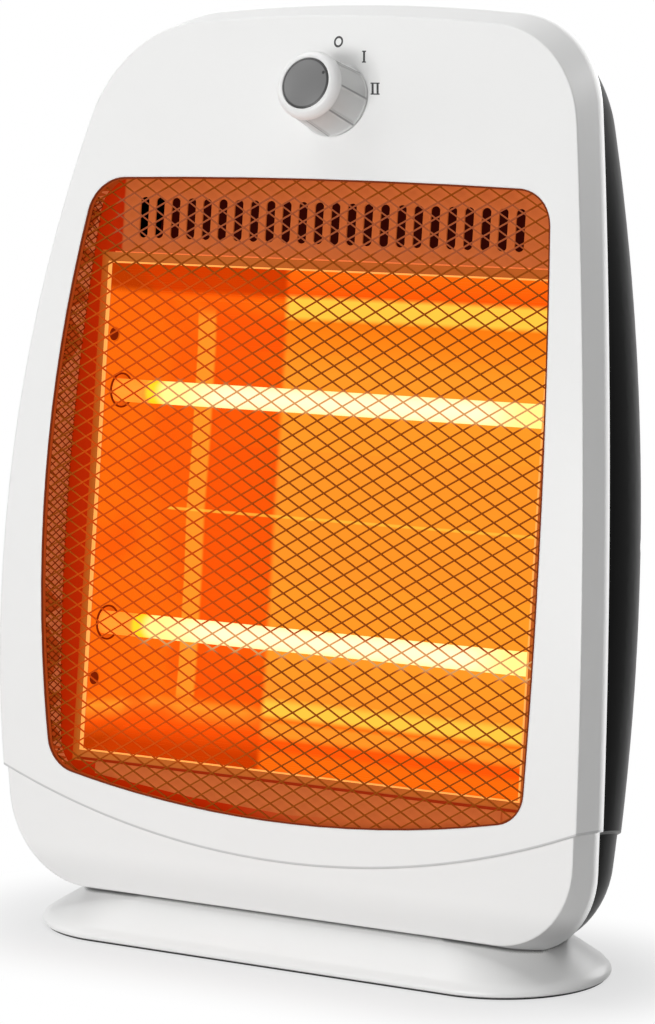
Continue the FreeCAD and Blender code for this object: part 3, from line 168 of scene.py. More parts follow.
def zone(tree, along, low, high, soft_low, soft_high=None):
    """Share that is one between two places in millimetres and fades out over a soft edge outside each."""
    rise = add_node(tree, "MapRange", SMOOTH, {
        "Value": along, "From Min": (low - soft_low) * MM, "From Max": low * MM})
    fall = add_node(tree, "MapRange", SMOOTH, {
        "Value": along, "From Min": high * MM, "From Max": (high + (soft_high or soft_low)) * MM,
        "To Min": 1.0, "To Max": 0.0})
    return add_node(tree, "Math", TIMES, {0: rise, 1: fall})


def all_of(tree, *shares):
    """Product of several shares."""
    product = shares[0]
    for share in shares[1:]:
        product = add_node(tree, "Math", TIMES, {0: product, 1: share})
    return product


def colours_over(tree, along, stops):
    """Colours along a length, given as pairs of millimetres and colour."""
    low, high = stops[0][0], stops[-1][0]
    share = add_node(tree, "MapRange", None, {"Value": along, "From Min": low * MM, "From Max": high * MM})
    scale = add_node(tree, "ValToRGB", None, {"Fac": share})
    elements = scale.color_ramp.elements
    while len(elements) < len(stops):
        elements.new(0.5)
    for element, (level, colour) in zip(elements, stops):
        element.position = (level - low) / (high - low)
        element.color = linear(colour)
    return scale


def dress(material, *names):
    """Give CAD nodes a finish."""
    for name in names:
        slots = nodes[name].data.materials
        slots.clear()
        slots.append(material)


def deselect():
    """Leave edit mode and select nothing."""
    if bpy.context.object and bpy.context.object.mode != "OBJECT":
        bpy.ops.object.mode_set(mode="OBJECT")
    bpy.ops.object.select_all(action="DESELECT")


def activate(piece):
    """Select one piece alone."""
    deselect()
    piece.select_set(True)
    bpy.context.view_layer.objects.active = piece


def apply_modifier(piece, kind, **settings):
    """Add a modifier with its settings and apply it."""
    activate(piece)
    modifier = piece.modifiers.new(kind.lower(), kind)
    for name, value in settings.items():
        setattr(modifier, name, value)
    bpy.ops.object.modifier_apply(modifier=modifier.name)


def edit_all():
    """Go to edit mode with all of the active piece selected."""
    bpy.ops.object.mode_set(mode="EDIT")
    bpy.ops.mesh.select_all(action="SELECT")


def edit_some(piece, kind, test):
    """Go to edit mode with only those vertices or faces of the active piece selected that pass a test."""
    bpy.ops.object.mode_set(mode="EDIT")
    bpy.ops.mesh.select_mode(type=kind)
    bpy.ops.mesh.select_all(action="DESELECT")
    bpy.ops.object.mode_set(mode="OBJECT")
    for part in piece.data.vertices if kind == "VERT" else piece.data.polygons:
        part.select = test(part)
    bpy.ops.object.mode_set(mode="EDIT")


def end_edit():
    """Leave edit mode, and let later edits start from vertices."""
    bpy.ops.mesh.select_mode(type="VERT")
    bpy.ops.object.mode_set(mode="OBJECT")


def smooth(degrees):
    """Shade the active piece smooth, except across edges sharper than an angle."""
    bpy.ops.object.shade_smooth_by_angle(angle=math.radians(degrees))


def fix_place(piece, place=None):
    """Put a piece at its place and keep that in its mesh."""
    activate(piece)
    if place is not None:
        piece.matrix_world = place @ piece.matrix_world
    bpy.ops.object.transform_apply(location=True, rotation=True, scale=True)


def settle(piece, name, material, body, place=None):
    """Put a finished piece at its place, give it its finish, and let it ride on a body."""
    fix_place(piece, place)
    piece.name = name
    piece.data.materials.clear()
    piece.data.materials.append(material)
    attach(piece, body)
    return piece


def own_copy(piece):
    """Copy of a piece with its own mesh."""
    twin = piece.copy()
    twin.data = piece.data.copy()
    bpy.context.scene.collection.objects.link(twin)
    return twin


def join_pieces(pieces):
    """One piece from several."""
    deselect()
    for piece in pieces:
        piece.select_set(True)
    bpy.context.view_layer.objects.active = pieces[0]
    bpy.ops.object.join()
    return pieces[0]


def node_copy(node):
    """Copy of a CAD node with its triangles joined."""
    piece = own_copy(nodes[node])
    for key in list(piece.keys()):
        del piece[key]
    piece.parent = None
    activate(piece)
    edit_all()
    bpy.ops.mesh.remove_doubles(threshold=0.004 * MM)
    bpy.ops.object.mode_set(mode="OBJECT")
    bpy.ops.mesh.customdata_custom_splitnormals_clear()
    return piece


def stand_in(piece, node, material, body="heater", angle=28):
    """Shade a copy smooth and let it stand for its CAD node."""
    activate(piece)
    smooth(angle)
    settle(piece, f"{node}_finished", material, body)
    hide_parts(node)


def bow_point(x, z, proud=0.0):
    """Frame on the bowed front face at a place of the casing: x right, y up the face, z out of it."""
    slope = math.asin((z - BOW_Z) / BOW_RADIUS)
    reach = BOW_RADIUS + proud
    spot = Vector((x, BOW_Y - reach * math.cos(slope), BOW_Z + reach * math.sin(slope))) * MM
    return CASING @ Matrix.Translation(spot) @ Matrix.Rotation(math.pi / 2 - slope, 4, "X")


# Finishes

def moulded_plastic(name, colour, roughness, grain_mm, grain_depth, edge_mm, ior=1.53):
    """Moulded plastic: even colour, a soft gloss that wanders with the mould's texture, eased edges."""
    material, tree, shader = new_material(name)
    place = add_node(tree, "TexCoord")
    grain = add_node(tree, "TexNoise", None, {
        "Vector": place.outputs["Object"], "Scale": 1 / (grain_mm * MM), "Detail": 2.0, "Roughness": 0.5})
    eased = add_node(tree, "Bevel", {"samples": 6}, {"Radius": edge_mm * MM})
    bump = add_node(tree, "Bump", None, {
        "Height": grain, "Strength": grain_depth, "Distance": 0.1 * MM, "Normal": eased})
    gloss = add_node(tree, "MapRange", None, {
        "Value": grain, "To Min": roughness - 0.04, "To Max": roughness + 0.04})
    feed(tree, shader, {"Base Color": linear(colour), "Roughness": gloss, "Normal": bump, "IOR": ior})
    return material, tree, shader


def skirt_height(tree, x, z):
    """Height above the curved step of the skirt, which rises to both sides."""
    across = add_node(tree, "Math", TIMES, {0: x, 1: x})
    rest = add_node(tree, "Math", MINUS, {0: (STEP_RADIUS * MM) ** 2, 1: across})
    arc = add_node(tree, "Math", {"operation": "SQRT"}, {0: rest})
    lifted = add_node(tree, "Math", MINUS, {0: (STEP_RADIUS + STEP_Z) * MM, 1: arc})
    return add_node(tree, "Math", MINUS, {0: z, 1: lifted})


def bow_reach(tree, upright):
    """Distance from the axis of the bowed front: its full radius on the face, less behind it."""
    axis = add_node(tree, "VectorMath", MINUS, {0: upright, 1: Vector((0, BOW_Y, BOW_Z)) * MM})
    flat = add_node(tree, "VectorMath", TIMES, {0: axis, 1: (0, 1, 1)})
    return add_node(tree, "VectorMath", LENGTH, {0: flat})


def within_window(tree, x, z):
    """Share that is one inside the window's outline, seen from the front."""
    rise = add_node(tree, "Math", MINUS, {0: z, 1: WINDOW_WIDEST * MM})
    bulge = all_of(tree, rise, rise, 1 / (SIDE_BOW * MM))
    aside = add_node(tree, "Math", PLUS, {0: add_node(tree, "Math", SIZE, {0: x}), 1: bulge})
    sill = add_node(tree, "Math", MINUS, {0: z, 1: all_of(tree, x, x, 1 / (SILL_BOW * MM))})
    head = add_node(tree, "Math", PLUS, {0: z, 1: all_of(tree, x, x, 1 / (HEAD_BOW * MM))})
    return all_of(tree, zone(tree, aside, -FAR, WINDOW_HALF, 0.2), zone(tree, sill, WINDOW_SILL, FAR, 0.2),
                  zone(tree, head, -FAR, WINDOW_HEAD, 0.2))


def front_abs():
    """Moulded white ABS of the front: glossy white outside, with a painted brown-orange glow on the walls of the
    window.
    A painted grey shadow line along the step of the skirt, painted shade on the low band next to the foot, and a
    painted highlight on the rear edge."""
    material, tree, shader = moulded_plastic("white_moulded_abs_front", WHITE, 0.30, 40, 0.02, 1.3)
    upright, at = places(tree, CASING)
    reach = bow_reach(tree, upright)
    # Painted glow: a brown-orange colour and emission on the window's walls stand in for the tubes' light
    lit = all_of(tree, zone(tree, reach, -FAR, BOW_RADIUS - 1.2, 1.0), within_window(tree, at["X"], at["Z"]))
    # Painted shadow: a grey line along the skirt's step
    step = zone(tree, skirt_height(tree, at["X"], at["Z"]), 0.1, 0.6, 0.2, 0.7)
    # Painted shade: grey on the band behind the front face, low down next to the foot
    under = all_of(tree, zone(tree, reach, -FAR, BOW_RADIUS - 2, 1.5), zone(tree, at["Z"], -FAR, 24, 1, 14))
    colour = add_node(tree, "Mix", COLOURS, {0: step, 6: linear(WHITE), 7: linear("#CFCFCF")})
    colour = add_node(tree, "Mix", COLOURS, {0: under, 6: colour, 7: linear("#C2C2C2")})
    colour = add_node(tree, "Mix", COLOURS, {0: lit, 6: colour, 7: linear("#C8714A")})
    glow = add_node(tree, "Mix", COLOURS, {0: lit, 6: linear("#FFFFFF"), 7: linear("#C87848")})
    # Painted highlight: emission on the rear edge stands in for the light it catches
    edge = all_of(tree, zone(tree, reach, -FAR, BOW_RADIUS - 20.4, 1.0, 4.8), zone(tree, at["Z"], 48, FAR, 28), 0.5)
    strength = add_node(tree, "Math", LARGER, {0: edge, 1: all_of(tree, lit, 0.45)})
    feed(tree, shader, {"Base Color": colour, "Emission Color": glow, "Emission Strength": strength})
    return material


def rear_polypropylene():
    """Moulded black polypropylene of the back: near black, with a painted grey sheen where it turns away from view and
    a painted pale highlight line on its step.
    """
    black = "#0E0E0E"
    material, tree, shader = moulded_plastic("black_moulded_polypropylene_back", black, 0.30, 1.2, 0.06, 0.8, 1.05)
    at = places(tree, CASING)[1]
    # Painted highlight: a pale line along the skirt's step
    step = zone(tree, skirt_height(tree, at["X"], at["Z"]), -0.4, 0.2, 0.3)
    # Painted sheen: grey mixed in where the surface turns away from view
    turned_away = add_node(tree, "LayerWeight", None, {"Blend": 0.5}).outputs["Facing"]
    grazing_sheen = add_node(tree, "MapRange", SMOOTH, {"Value": turned_away, "From Min": 0.62, "From Max": 1.0})
    colour = add_node(tree, "Mix", COLOURS, {0: grazing_sheen, 6: linear(black), 7: linear("#787878")})
    colour = add_node(tree, "Mix", COLOURS, {0: step, 6: colour, 7: linear("#8A8A8A")})
    feed(tree, shader, {"Base Color": colour})
    return material


def foot_abs():
    """Moulded white ABS of the foot: glossy white, with painted shade where other surfaces come within 3 mm, which
    draws a fine dark line where it meets the casing.
    """
    material, tree, shader = moulded_plastic("white_moulded_abs_foot", WHITE, 0.30, 40, 0.02, 0.9)
    # Painted shade: the colour darkens where other surfaces are within 3 mm, as under the casing and by the floor
    near = add_node(tree, "AmbientOcclusion", {"samples": 8}, {"Distance": 3 * MM})
    clear = add_node(tree, "MapRange", SMOOTH, {"Value": near.outputs["AO"], "From Min": 0.25, "From Max": 0.58})
    colour = add_node(tree, "Mix", COLOURS, {0: clear, 6: linear("#626262"), 7: linear(WHITE)})
    feed(tree, shader, {"Base Color": colour})
    return material


def knob_abs():
    """Moulded white ABS of the knob: white collar, grey painted on the grip panels for the shade on the knob's side,
    and darker painted shade in the grooves between.
    """
    white, half_groove = "#EFEFEE", GROOVE_SHARE / 2
    material, tree, shader = moulded_plastic("white_moulded_abs_knob", white, 0.34, 20, 0.02, 0.5)
    at = places(tree, KNOB)[1]
    # Painted shade: grey on the grip panels for the shade on the knob's side
    grip = zone(tree, at["Z"], GRIP_LOW, GRIP_HIGH - 1, 0.6, 1.6)
    colour = add_node(tree, "Mix", COLOURS, {0: grip, 6: linear(white), 7: linear("#D0D0CF")})
    # Painted shade: darker lines in the grooves between the panels
    angle = add_node(tree, "Math", {"operation": "ARCTAN2"}, {0: at["Y"], 1: at["X"]})
    angle = add_node(tree, "Math", TIMES, {0: angle, 1: KNOB_PANELS / math.tau})
    share = add_node(tree, "Math", {"operation": "FRACT"}, {0: angle})
    beside = add_node(tree, "Math", SIZE, {0: add_node(tree, "Math", MINUS, {0: share, 1: half_groove})})
    groove = add_node(tree, "MapRange", SMOOTH, {
        "Value": beside, "From Min": 0.3 * half_groove, "From Max": half_groove, "To Min": 1.0, "To Max": 0.0})
    colour = add_node(tree, "Mix", COLOURS, {0: all_of(tree, groove, grip), 6: colour, 7: linear("#8E8E8E")})
    feed(tree, shader, {"Base Color": colour})
    return material


def cap_abs():
    """Moulded grey ABS of the knob's cap: mid grey face, a dark painted shade ring round its edge for the groove
    there, with a small pointer dot.
    """
    grey = "#747474"
    material, tree, shader = moulded_plastic("grey_moulded_abs", grey, 0.36, 0.8, 0.08, 0.3)
    flat = add_node(tree, "VectorMath", TIMES, {0: places(tree, KNOB)[0], 1: (1, 1, 0)})
    # Painted shade: a dark ring round the cap's edge for the groove's shadow; the dot is the pointer
    rim = zone(tree, add_node(tree, "VectorMath", LENGTH, {0: flat}), 10.2, FAR, 0.5)
    spot = add_node(tree, "VectorMath", MINUS, {0: flat, 1: Vector((7.9, 4.6, 0)) * MM})
    dot = zone(tree, add_node(tree, "VectorMath", LENGTH, {0: spot}), -FAR, 0.55, 0.3)
    dark = add_node(tree, "Math", LARGER, {0: rim, 1: dot})
    colour = add_node(tree, "Mix", COLOURS, {0: dark, 6: linear(grey), 7: linear("#2C2C2C")})
    feed(tree, shader, {"Base Color": colour})
    return material


def rolled_sheet(name, colour, roughness, streak_mm, metallic=1.0):
    """Rolled metal sheet: fine streaks along X vary its gloss, and it mirrors softly."""
    material, tree, shader = new_material(name)
    place = add_node(tree, "TexCoord")
    streak = add_node(tree, "Mapping", None, {
        "Vector": place.outputs["Object"], "Scale": (8, 1 / (streak_mm * MM), 1 / (streak_mm * MM))})
    rolled = add_node(tree, "TexNoise", None, {"Vector": streak, "Scale": 1.0, "Detail": 3.0})
    gloss = add_node(tree, "MapRange", None, {
        "Value": rolled, "To Min": roughness - 0.06, "To Max": roughness + 0.06})
    feed(tree, shader, {"Base Color": linear(colour), "Metallic": metallic, "Roughness": gloss})
    return material, tree, shader


def sheet_in_painted_glow(name, colour, glow, strength, roughness=0.5):
    """Rolled sheet next to the tubes: its own colour plus an even painted glow, an emission that stands in for the
    light the tubes throw on it.
    """
    material, tree, shader = rolled_sheet(name, colour, roughness, 1.5, 0.2)
    feed(tree, shader, {
        "Specular IOR Level": 0.06, "Emission Color": linear(glow), "Emission Strength": strength})
    return material


def sheet_with_painted_red_end(name, start, soft):
    """Rolled steel beside the reflector: painted deep red light at its left, painted warm brown glow from a place
    across it onward.
    """
    deep_red = "#701000"
    material, tree, shader = rolled_sheet(name, deep_red, 0.6, 1.5, 0.2)
    brown = zone(tree, places(tree, CASING)[1]["X"], start, FAR, soft)
    colour = add_node(tree, "Mix", COLOURS, {0: brown, 6: linear(deep_red), 7: linear("#A4552C")})
    # Painted glow: emission deep red at the left, warm brown across
    glow = add_node(tree, "Mix", COLOURS, {0: brown, 6: linear("#C02A00"), 7: linear("#A65224")})
    feed(tree, shader, {
        "Base Color": colour, "Specular IOR Level": 0.05, "Emission Color": glow, "Emission Strength": 0.66})
    return material


def shadow_strip_sheet():
    """Coated steel strip on the wall of the window: a painted dark brown shadow line at its front edge, a painted
    brown-orange glow behind it.
    """
    brown = "#9A4420"
    material, tree, shader = rolled_sheet("brown_coated_steel_shadow_strip", brown, 0.6, 2.0, 0.1)
    # Painted shadow line at the front edge; painted glow behind it
    front = zone(tree, bow_reach(tree, places(tree, CASING)[0]), BOW_RADIUS - 0.4, FAR, 0.5)
    colour = add_node(tree, "Mix", COLOURS, {0: front, 6: linear(brown), 7: linear("#5A2410")})
    glow = add_node(tree, "Mix", COLOURS, {0: front, 6: linear("#B04A18"), 7: linear("#7A2E10")})
    feed(tree, shader, {
        "Base Color": colour, "Specular IOR Level": 0.05, "Emission Color": glow, "Emission Strength": 0.42})
    return material


def reflector_with_painted_reflections():
    """Bright folded aluminium whose light is painted as emission: painted amber and yellow reflections of the two
    glowing tubes, deeper orange painted reflection of its own end, painted red and brown glow on its flange."""
    deep, red, orange, amber, yellow = "#B23A02", "#F4560A", "#F96C0E", "#FB9628", "#FECC44"
    material, tree, shader = new_material("rolled_aluminium_reflector_with_painted_reflections")
    upright, at = places(tree, CASING)
    x, z = at["X"], at["Z"]
    # The painted reflections run aslant: they lie further left at the back of the reflector than at its mouth
    lag = add_node(tree, "Math", MINUS, {0: at["Y"], 1: BACK_Y * MM})
    slant = add_node(tree, "Math", PLUS, {0: x, 1: all_of(tree, lag, 0.6)})
    # Painted red patches in the reflection of its own end
    cloud = add_node(tree, "TexNoise", None, {"Vector": upright, "Scale": 1 / (45 * MM), "Detail": 1.0})
    reflection_patches = add_node(tree, "MapRange", SMOOTH, {
        "Value": cloud, "From Min": 0.42, "From Max": 0.62, "To Max": 0.7})
    reflection_patches = all_of(tree, reflection_patches, zone(tree, z, 90, 276, 4))
    # Left: painted reflection of its own end, with a painted highlight at the corner and a second, redder painted
    # reflection beside it
    own_end_reflection = colours_over(tree, z, [
        (79, deep), (83, deep), (91, red), (98, amber), (102, orange), (272, orange), (278, orange), (281.5, deep),
        (291, deep)])
    own_end_reflection = add_node(tree, "Mix", COLOURS, {0: reflection_patches, 6: own_end_reflection, 7: linear(red)})
    middle = zone(tree, z, 104, 268, 5, 8)
    second_reflection = all_of(tree, zone(tree, slant, -90.8, FAR, 2.2), middle)
    left = add_node(tree, "Mix", COLOURS, {0: second_reflection, 6: own_end_reflection, 7: linear(red)})
    corner = all_of(tree, zone(tree, slant, -100.6, -93, 1.0, 2.2), middle)
    left = add_node(tree, "Mix", COLOURS, {0: corner, 6: left, 7: linear(amber)})
    # Right: painted reflections of the two tubes, one above the other
    right = colours_over(tree, z, [
        (79, orange), (84.5, orange), (86.5, red), (89, red), (91, amber), (94.8, amber), (96.6, orange),
        (98.6, yellow), (102.6, yellow), (105.5, amber), (248, amber), (262, "#FA8618"), (270.5, "#F97C12"),
        (272.5, yellow), (279.5, yellow), (281.5, red), (291, orange)])
    colour = add_node(tree, "Mix", COLOURS, {0: zone(tree, slant, -53.5, FAR, 4), 6: left, 7: right})
    # Painted highlight on the ridge between the troughs, and painted glow on the flange outside the mouth
    ridge = all_of(tree, zone(tree, z, 184.8, 185.4, 0.6), zone(tree, slant, -110, FAR, 2), 0.6)
    colour = add_node(tree, "Mix", COLOURS, {0: ridge, 6: colour, 7: linear(yellow)})
    flange = colours_over(tree, x, [
        (-113, "#B04410"), (-110.5, "#B05A1E"), (-MOUTH_HALF, "#B4602A"), (0, "#AE5426"), (113, "#A85024")])
    mouth = all_of(tree, zone(tree, x, -MOUTH_HALF, MOUTH_HALF, 0.1), zone(tree, z, MOUTH_LOW, MOUTH_HIGH, 0.1))
    colour = add_node(tree, "Mix", COLOURS, {0: mouth, 6: flange, 7: colour})
    # Only the side that faces the tubes gets the painted emission; the outer side stays dark
    facing = add_node(tree, "VectorMath", {"operation": "DOT_PRODUCT"}, {
        0: add_node(tree, "TexCoord").outputs["Normal"], 1: CASING.to_3x3() @ Vector((0, -1, 0))})
    inner = add_node(tree, "Math", {"operation": "GREATER_THAN"}, {0: facing, 1: 0.0})
    streak = add_node(tree, "Mapping", None, {"Vector": upright, "Scale": (8, 700, 700)})
    rolled = add_node(tree, "TexNoise", None, {"Vector": streak, "Scale": 1.0, "Detail": 3.0})
    gloss = add_node(tree, "MapRange", None, {"Value": rolled, "To Min": 0.2, "To Max": 0.32})
    feed(tree, shader, {
        "Base Color": (0.09, 0.025, 0.0, 1), "Metallic": 1.0, "Roughness": gloss,
        "Specular Tint": (1.0, 0.45, 0.06, 1), "Emission Color": colour, "Emission Strength": inner})
    return material


def guard_wire():
    """Coated guard wire: warm brown, with painted glow: red-orange in front of the reflector's end, yellow in front of
    the tubes and dull pink in front of the slots."""
    material, tree, shader = rolled_sheet("brown_coated_wire_in_painted_glow", "#96480A", 0.6, 2.0, 0.1)
    at = places(tree, CASING)[1]
    x, z = at["X"], at["Z"]
    # Painted glow: emission on the wires where they cross the reflector's end, the tubes and the slots
    lit = all_of(tree, zone(tree, x, -100, -45, 12, 50), zone(tree, z, 84, 282, 8), 0.3)
    tubes = add_node(tree, "Math", PLUS, {0: zone(tree, z, 232, 240, 3), 1: zone(tree, z, 130, 138, 3)})
    tubes = all_of(tree, tubes, zone(tree, x, -66, FAR, 12))
    colour = add_node(tree, "Mix", COLOURS, {0: tubes, 6: linear("#FF3A00"), 7: linear("#FFD890")})
    strength = add_node(tree, "Math", LARGER, {0: lit, 1: all_of(tree, tubes, 0.42)})
    slots = all_of(tree, zone(tree, z, 300, 320, 3), zone(tree, x, -98, 98, 4))
    colour = add_node(tree, "Mix", COLOURS, {0: slots, 6: colour, 7: linear("#C87C78")})
    strength = add_node(tree, "Math", LARGER, {0: strength, 1: all_of(tree, slots, 0.13)})
    feed(tree, shader, {
        "Specular IOR Level": 0.05, "Emission Color": colour, "Emission Strength": strength})
    return material


def glowing_quartz():
    """Milky quartz round a hot coil: near white in the middle, lemon at its left end, orange where it is cold."""
    material, tree, shader = new_material("glowing_milky_quartz")
    x = places(tree, CASING)[1]["X"]
    white, pale = (1.0, 0.95, 0.68, 1), (1.0, 0.88, 0.28, 1)
    lemon, cold = (0.86, 0.62, 0.01, 1), (0.92, 0.26, 0.025, 1)
    facing = add_node(tree, "LayerWeight", None, {"Blend": 0.35}).outputs["Facing"]
    core = add_node(tree, "Mix", COLOURS, {0: zone(tree, x, -46, 70, 32, 28), 6: pale, 7: white})
    round_edge = add_node(tree, "Mix", COLOURS, {0: facing, 6: core, 7: pale})
    colour = add_node(tree, "Mix", COLOURS, {0: zone(tree, x, -80, FAR, 7), 6: lemon, 7: round_edge})
    colour = add_node(tree, "Mix", COLOURS, {0: zone(tree, x, -88.5, FAR, 3), 6: cold, 7: colour})
    feed(tree, shader, {
        "Base Color": linear("#D8701C"), "Roughness": 0.35, "IOR": 1.46, "Alpha": 0.88, "Specular IOR Level": 0.15,
        "Emission Color": colour, "Emission Strength": 1.05})
    return material


def glowing_wire():
    """Wound resistance wire at full heat: it glows yellow-white, dull at its cold left end."""
    material, tree, shader = new_material("glowing_resistance_wire")
    upright, at = places(tree, CASING)
    spots = add_node(tree, "TexNoise", None, {"Vector": upright, "Scale": 1 / (9 * MM)})
    heat = add_node(tree, "MapRange", None, {"Value": spots, "To Min": 1.6, "To Max": 2.2})
    live = all_of(tree, heat, zone(tree, at["X"], -88, FAR, 4))
    feed(tree, shader, {
        "Base Color": linear("#8A5A34"), "Roughness": 0.5, "Emission Color": (1.0, 0.62, 0.26, 1),
        "Emission Strength": live})
    return material


white_front = front_abs()
white_foot = foot_abs()
window_shadow_strip = shadow_strip_sheet()
black_back = rear_polypropylene()
white_knob = knob_abs()
grey_cap = cap_abs()
black_plastic = moulded_plastic("black_moulded_polypropylene", "#0C0C0C", 0.40, 1.2, 0.08, 0.5, 1.2)[0]
mark_ink = moulded_plastic("dark_grey_printing_ink", "#343435", 0.55, 0.5, 0.05, 0.05)[0]
ceramic = moulded_plastic("glazed_ceramic", "#E0B78A", 0.25, 3, 0.05, 0.4)[0]
black_rubber = moulded_plastic("black_rubber", "#151515", 0.8, 0.6, 0.3, 0.4)[0]
natural_nylon = moulded_plastic("natural_nylon", "#D9D5C8", 0.5, 0.8, 0.1, 0.3)[0]
reflector_sheet = reflector_with_painted_reflections()
# Painted glow on the steel round the reflector: deep red at its left end, warm brown across
surround_in_painted_glow = sheet_with_painted_red_end("rolled_steel_in_painted_red_glow", 30, 70)
panel_in_painted_glow = sheet_with_painted_red_end("rolled_steel_in_painted_orange_glow", -101.5, 1.5)
# Painted glow on the bead, folds, backing and rims: an emission standing in for the tubes' light
bead_sheet = sheet_in_painted_glow("rolled_aluminium_edge_in_painted_orange_glow", "#C06020", "#FFB25A", 0.85, 0.4)
fold_sheet = sheet_in_painted_glow("folded_steel_edge_in_painted_orange_glow", "#C06030", "#F07C40", 0.6, 0.4)
red_fold = sheet_in_painted_glow("folded_steel_edge_in_painted_red_glow", "#702008", "#A82A00", 0.5, 0.5)
backing_in_painted_glow = sheet_in_painted_glow("mica_sheet_in_painted_orange_glow", "#B05010", "#EC640E", 0.75, 0.6)
# Near-black sheet for the shade behind the slots, with a painted dull red glow
slot_shade_finish = sheet_in_painted_glow("dark_steel_for_shade_in_painted_dull_red_glow", "#0A0504", "#2C0300", 1.0, 0.6)
rim_in_painted_glow = sheet_in_painted_glow("steel_edge_in_painted_red_glow", "#5A1A04", "#8A2402", 0.5, 0.6)
coated_wire = guard_wire()
plated_steel = rolled_sheet("zinc_plated_steel", "#B4B5B8", 0.35, 1.0)[0]
quartz = glowing_quartz()
hot_wire = glowing_wire()

dress(black_plastic, "cord_gland", "base_plate", "rotary_switch", "tip_over_switch", "tip_plunger")
dress(reflector_sheet, "reflector")
dress(panel_in_painted_glow, "lower_panel")
dress(surround_in_painted_glow, "reflector_surround")
dress(plated_steel, "tube_bracket_left", "tube_bracket_right", "switch_spindle", "switch_nut", "thermal_cutout",
      "case_screws", "surround_screws", "foot_screws", "base_plate_screws")
dress(ceramic, "ceramic_end_upper_left", "ceramic_end_upper_right", "ceramic_end_lower_left",
      "ceramic_end_lower_right")
dress(natural_nylon, "terminal_block")
dress(black_rubber, "rubber_pads")


# Casing
def make_window_edge():
    """Thin dark strip on the wall of the window, put there for the shadow line round the window's edge; taken from the
    casing's own wall and thickened inward.
    """
    upright, margin, deep = CASING.inverted(), 0.2, 8.0
    shadow_strip = node_copy("front_shell")

    def off_the_wall(face):
        """True for a face that isn't part of the window's wall."""
        spot = upright @ face.center / MM
        out = Vector((0, spot.y - BOW_Y, spot.z - BOW_Z))
        facing_out = (upright.to_3x3() @ face.normal).dot(out.normalized())
        inside = (abs(spot.x) + (spot.z - WINDOW_WIDEST) ** 2 / SIDE_BOW < WINDOW_HALF + margin
                  and spot.z - spot.x ** 2 / SILL_BOW > WINDOW_SILL - margin
                  and spot.z + spot.x ** 2 / HEAD_BOW < WINDOW_HEAD + margin)
        return not (inside and abs(facing_out) < 0.5 and out.length > BOW_RADIUS - deep)

    edit_some(shadow_strip, "FACE", off_the_wall)
    bpy.ops.mesh.delete(type="FACE")
    end_edit()
    apply_modifier(shadow_strip, "SOLIDIFY", thickness=0.7 * MM, offset=1.0)
    smooth(40)
    settle(shadow_strip, "window_shadow_strip", window_shadow_strip, "heater")


make_window_edge()
stand_in(node_copy("front_shell"), "front_shell", white_front)
stand_in(node_copy("rear_shell"), "rear_shell", black_back)


# Foot
def foot_ring(half, deep, y, z):
    """Long outline with full round ends, lying flat, in edit mode and all selected."""
    corners = 96
    deselect()
    bpy.ops.mesh.primitive_circle_add(vertices=corners, radius=deep * MM, rotation=(0, 0, math.pi / corners))
    ring = bpy.context.object
    fix_place(ring)
    for side in (-1, 1):
        edit_some(ring, "VERT", lambda vertex: vertex.co.x * side > 0)
        bpy.ops.transform.translate(value=(side * (half - deep) * MM, 0, 0))
        bpy.ops.object.mode_set(mode="OBJECT")
    fix_place(ring, Matrix.Translation(Vector((0, y, z)) * MM))
    edit_all()
    return ring


def make_foot():
    """Flared foot: a rounded rim, then a slope that runs up under the casing."""
    top_half, top_deep, top_y, top_z, rim_z = 104.0, 27.0, 4.0, 22.0, 4.5
    rim = [(1.0, 1.1), (1.3, 0.5), (1.9, 0.1), (2.7, 0.0), (3.6, 0.2), (4.5, 0.9)]
    slope = [0.085, 0.13, 0.3, 0.5, 0.7, 0.88]
    foot = foot_ring(FOOT_HALF - rim[0][1], FOOT_DEEP - rim[0][1], FOOT_Y, rim[0][0])
    rings = [(z, FOOT_HALF - inset, FOOT_DEEP - inset, FOOT_Y) for z, inset in rim]
    rings += [(rim_z + (top_z - rim_z) * share, FOOT_HALF + (top_half - FOOT_HALF) * share,
               FOOT_DEEP + (top_deep - FOOT_DEEP) * share, FOOT_Y + top_y * share) for share in slope]
    for (z, half, deep, y), (next_z, next_half, next_deep, next_y) in zip(rings, rings[1:]):
        bpy.ops.mesh.extrude_region_move(TRANSFORM_OT_translate={
            "value": (0, (next_y - y) * MM, (next_z - z) * MM)})
        bpy.ops.transform.resize(value=(next_half / half, next_deep / deep, 1), center_override=(0, next_y * MM, 0))
    bpy.ops.mesh.edge_face_add()
    bpy.ops.mesh.select_all(action="SELECT")
    bpy.ops.mesh.normals_make_consistent(inside=False)
    bpy.ops.object.mode_set(mode="OBJECT")
    apply_modifier(foot, "SOLIDIFY", thickness=2.0 * MM, offset=-1.0)
    smooth(35)
    settle(foot, "foot_finished", white_foot, "heater")
    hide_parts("foot")


def make_foot_gap_shade_strip():
    """Thin dark strip under the rim of the foot, put there for the shade in the gap beneath it."""
    inset, low, tall, thick = 1.9, 0.2, 0.7, 0.6
    gap_shade_strip = foot_ring(FOOT_HALF - inset, FOOT_DEEP - inset, FOOT_Y, low)
    bpy.ops.mesh.extrude_region_move(TRANSFORM_OT_translate={"value": (0, 0, tall * MM)})
    bpy.ops.object.mode_set(mode="OBJECT")
    apply_modifier(gap_shade_strip, "SOLIDIFY", thickness=thick * MM, offset=0.0)
    apply_modifier(gap_shade_strip, "BEVEL", width=0.1 * MM, segments=2, **SHARP_EDGES)
    smooth(40)
    settle(gap_shade_strip, "foot_gap_shade_strip", black_rubber, "heater")


make_foot()
make_foot_gap_shade_strip()


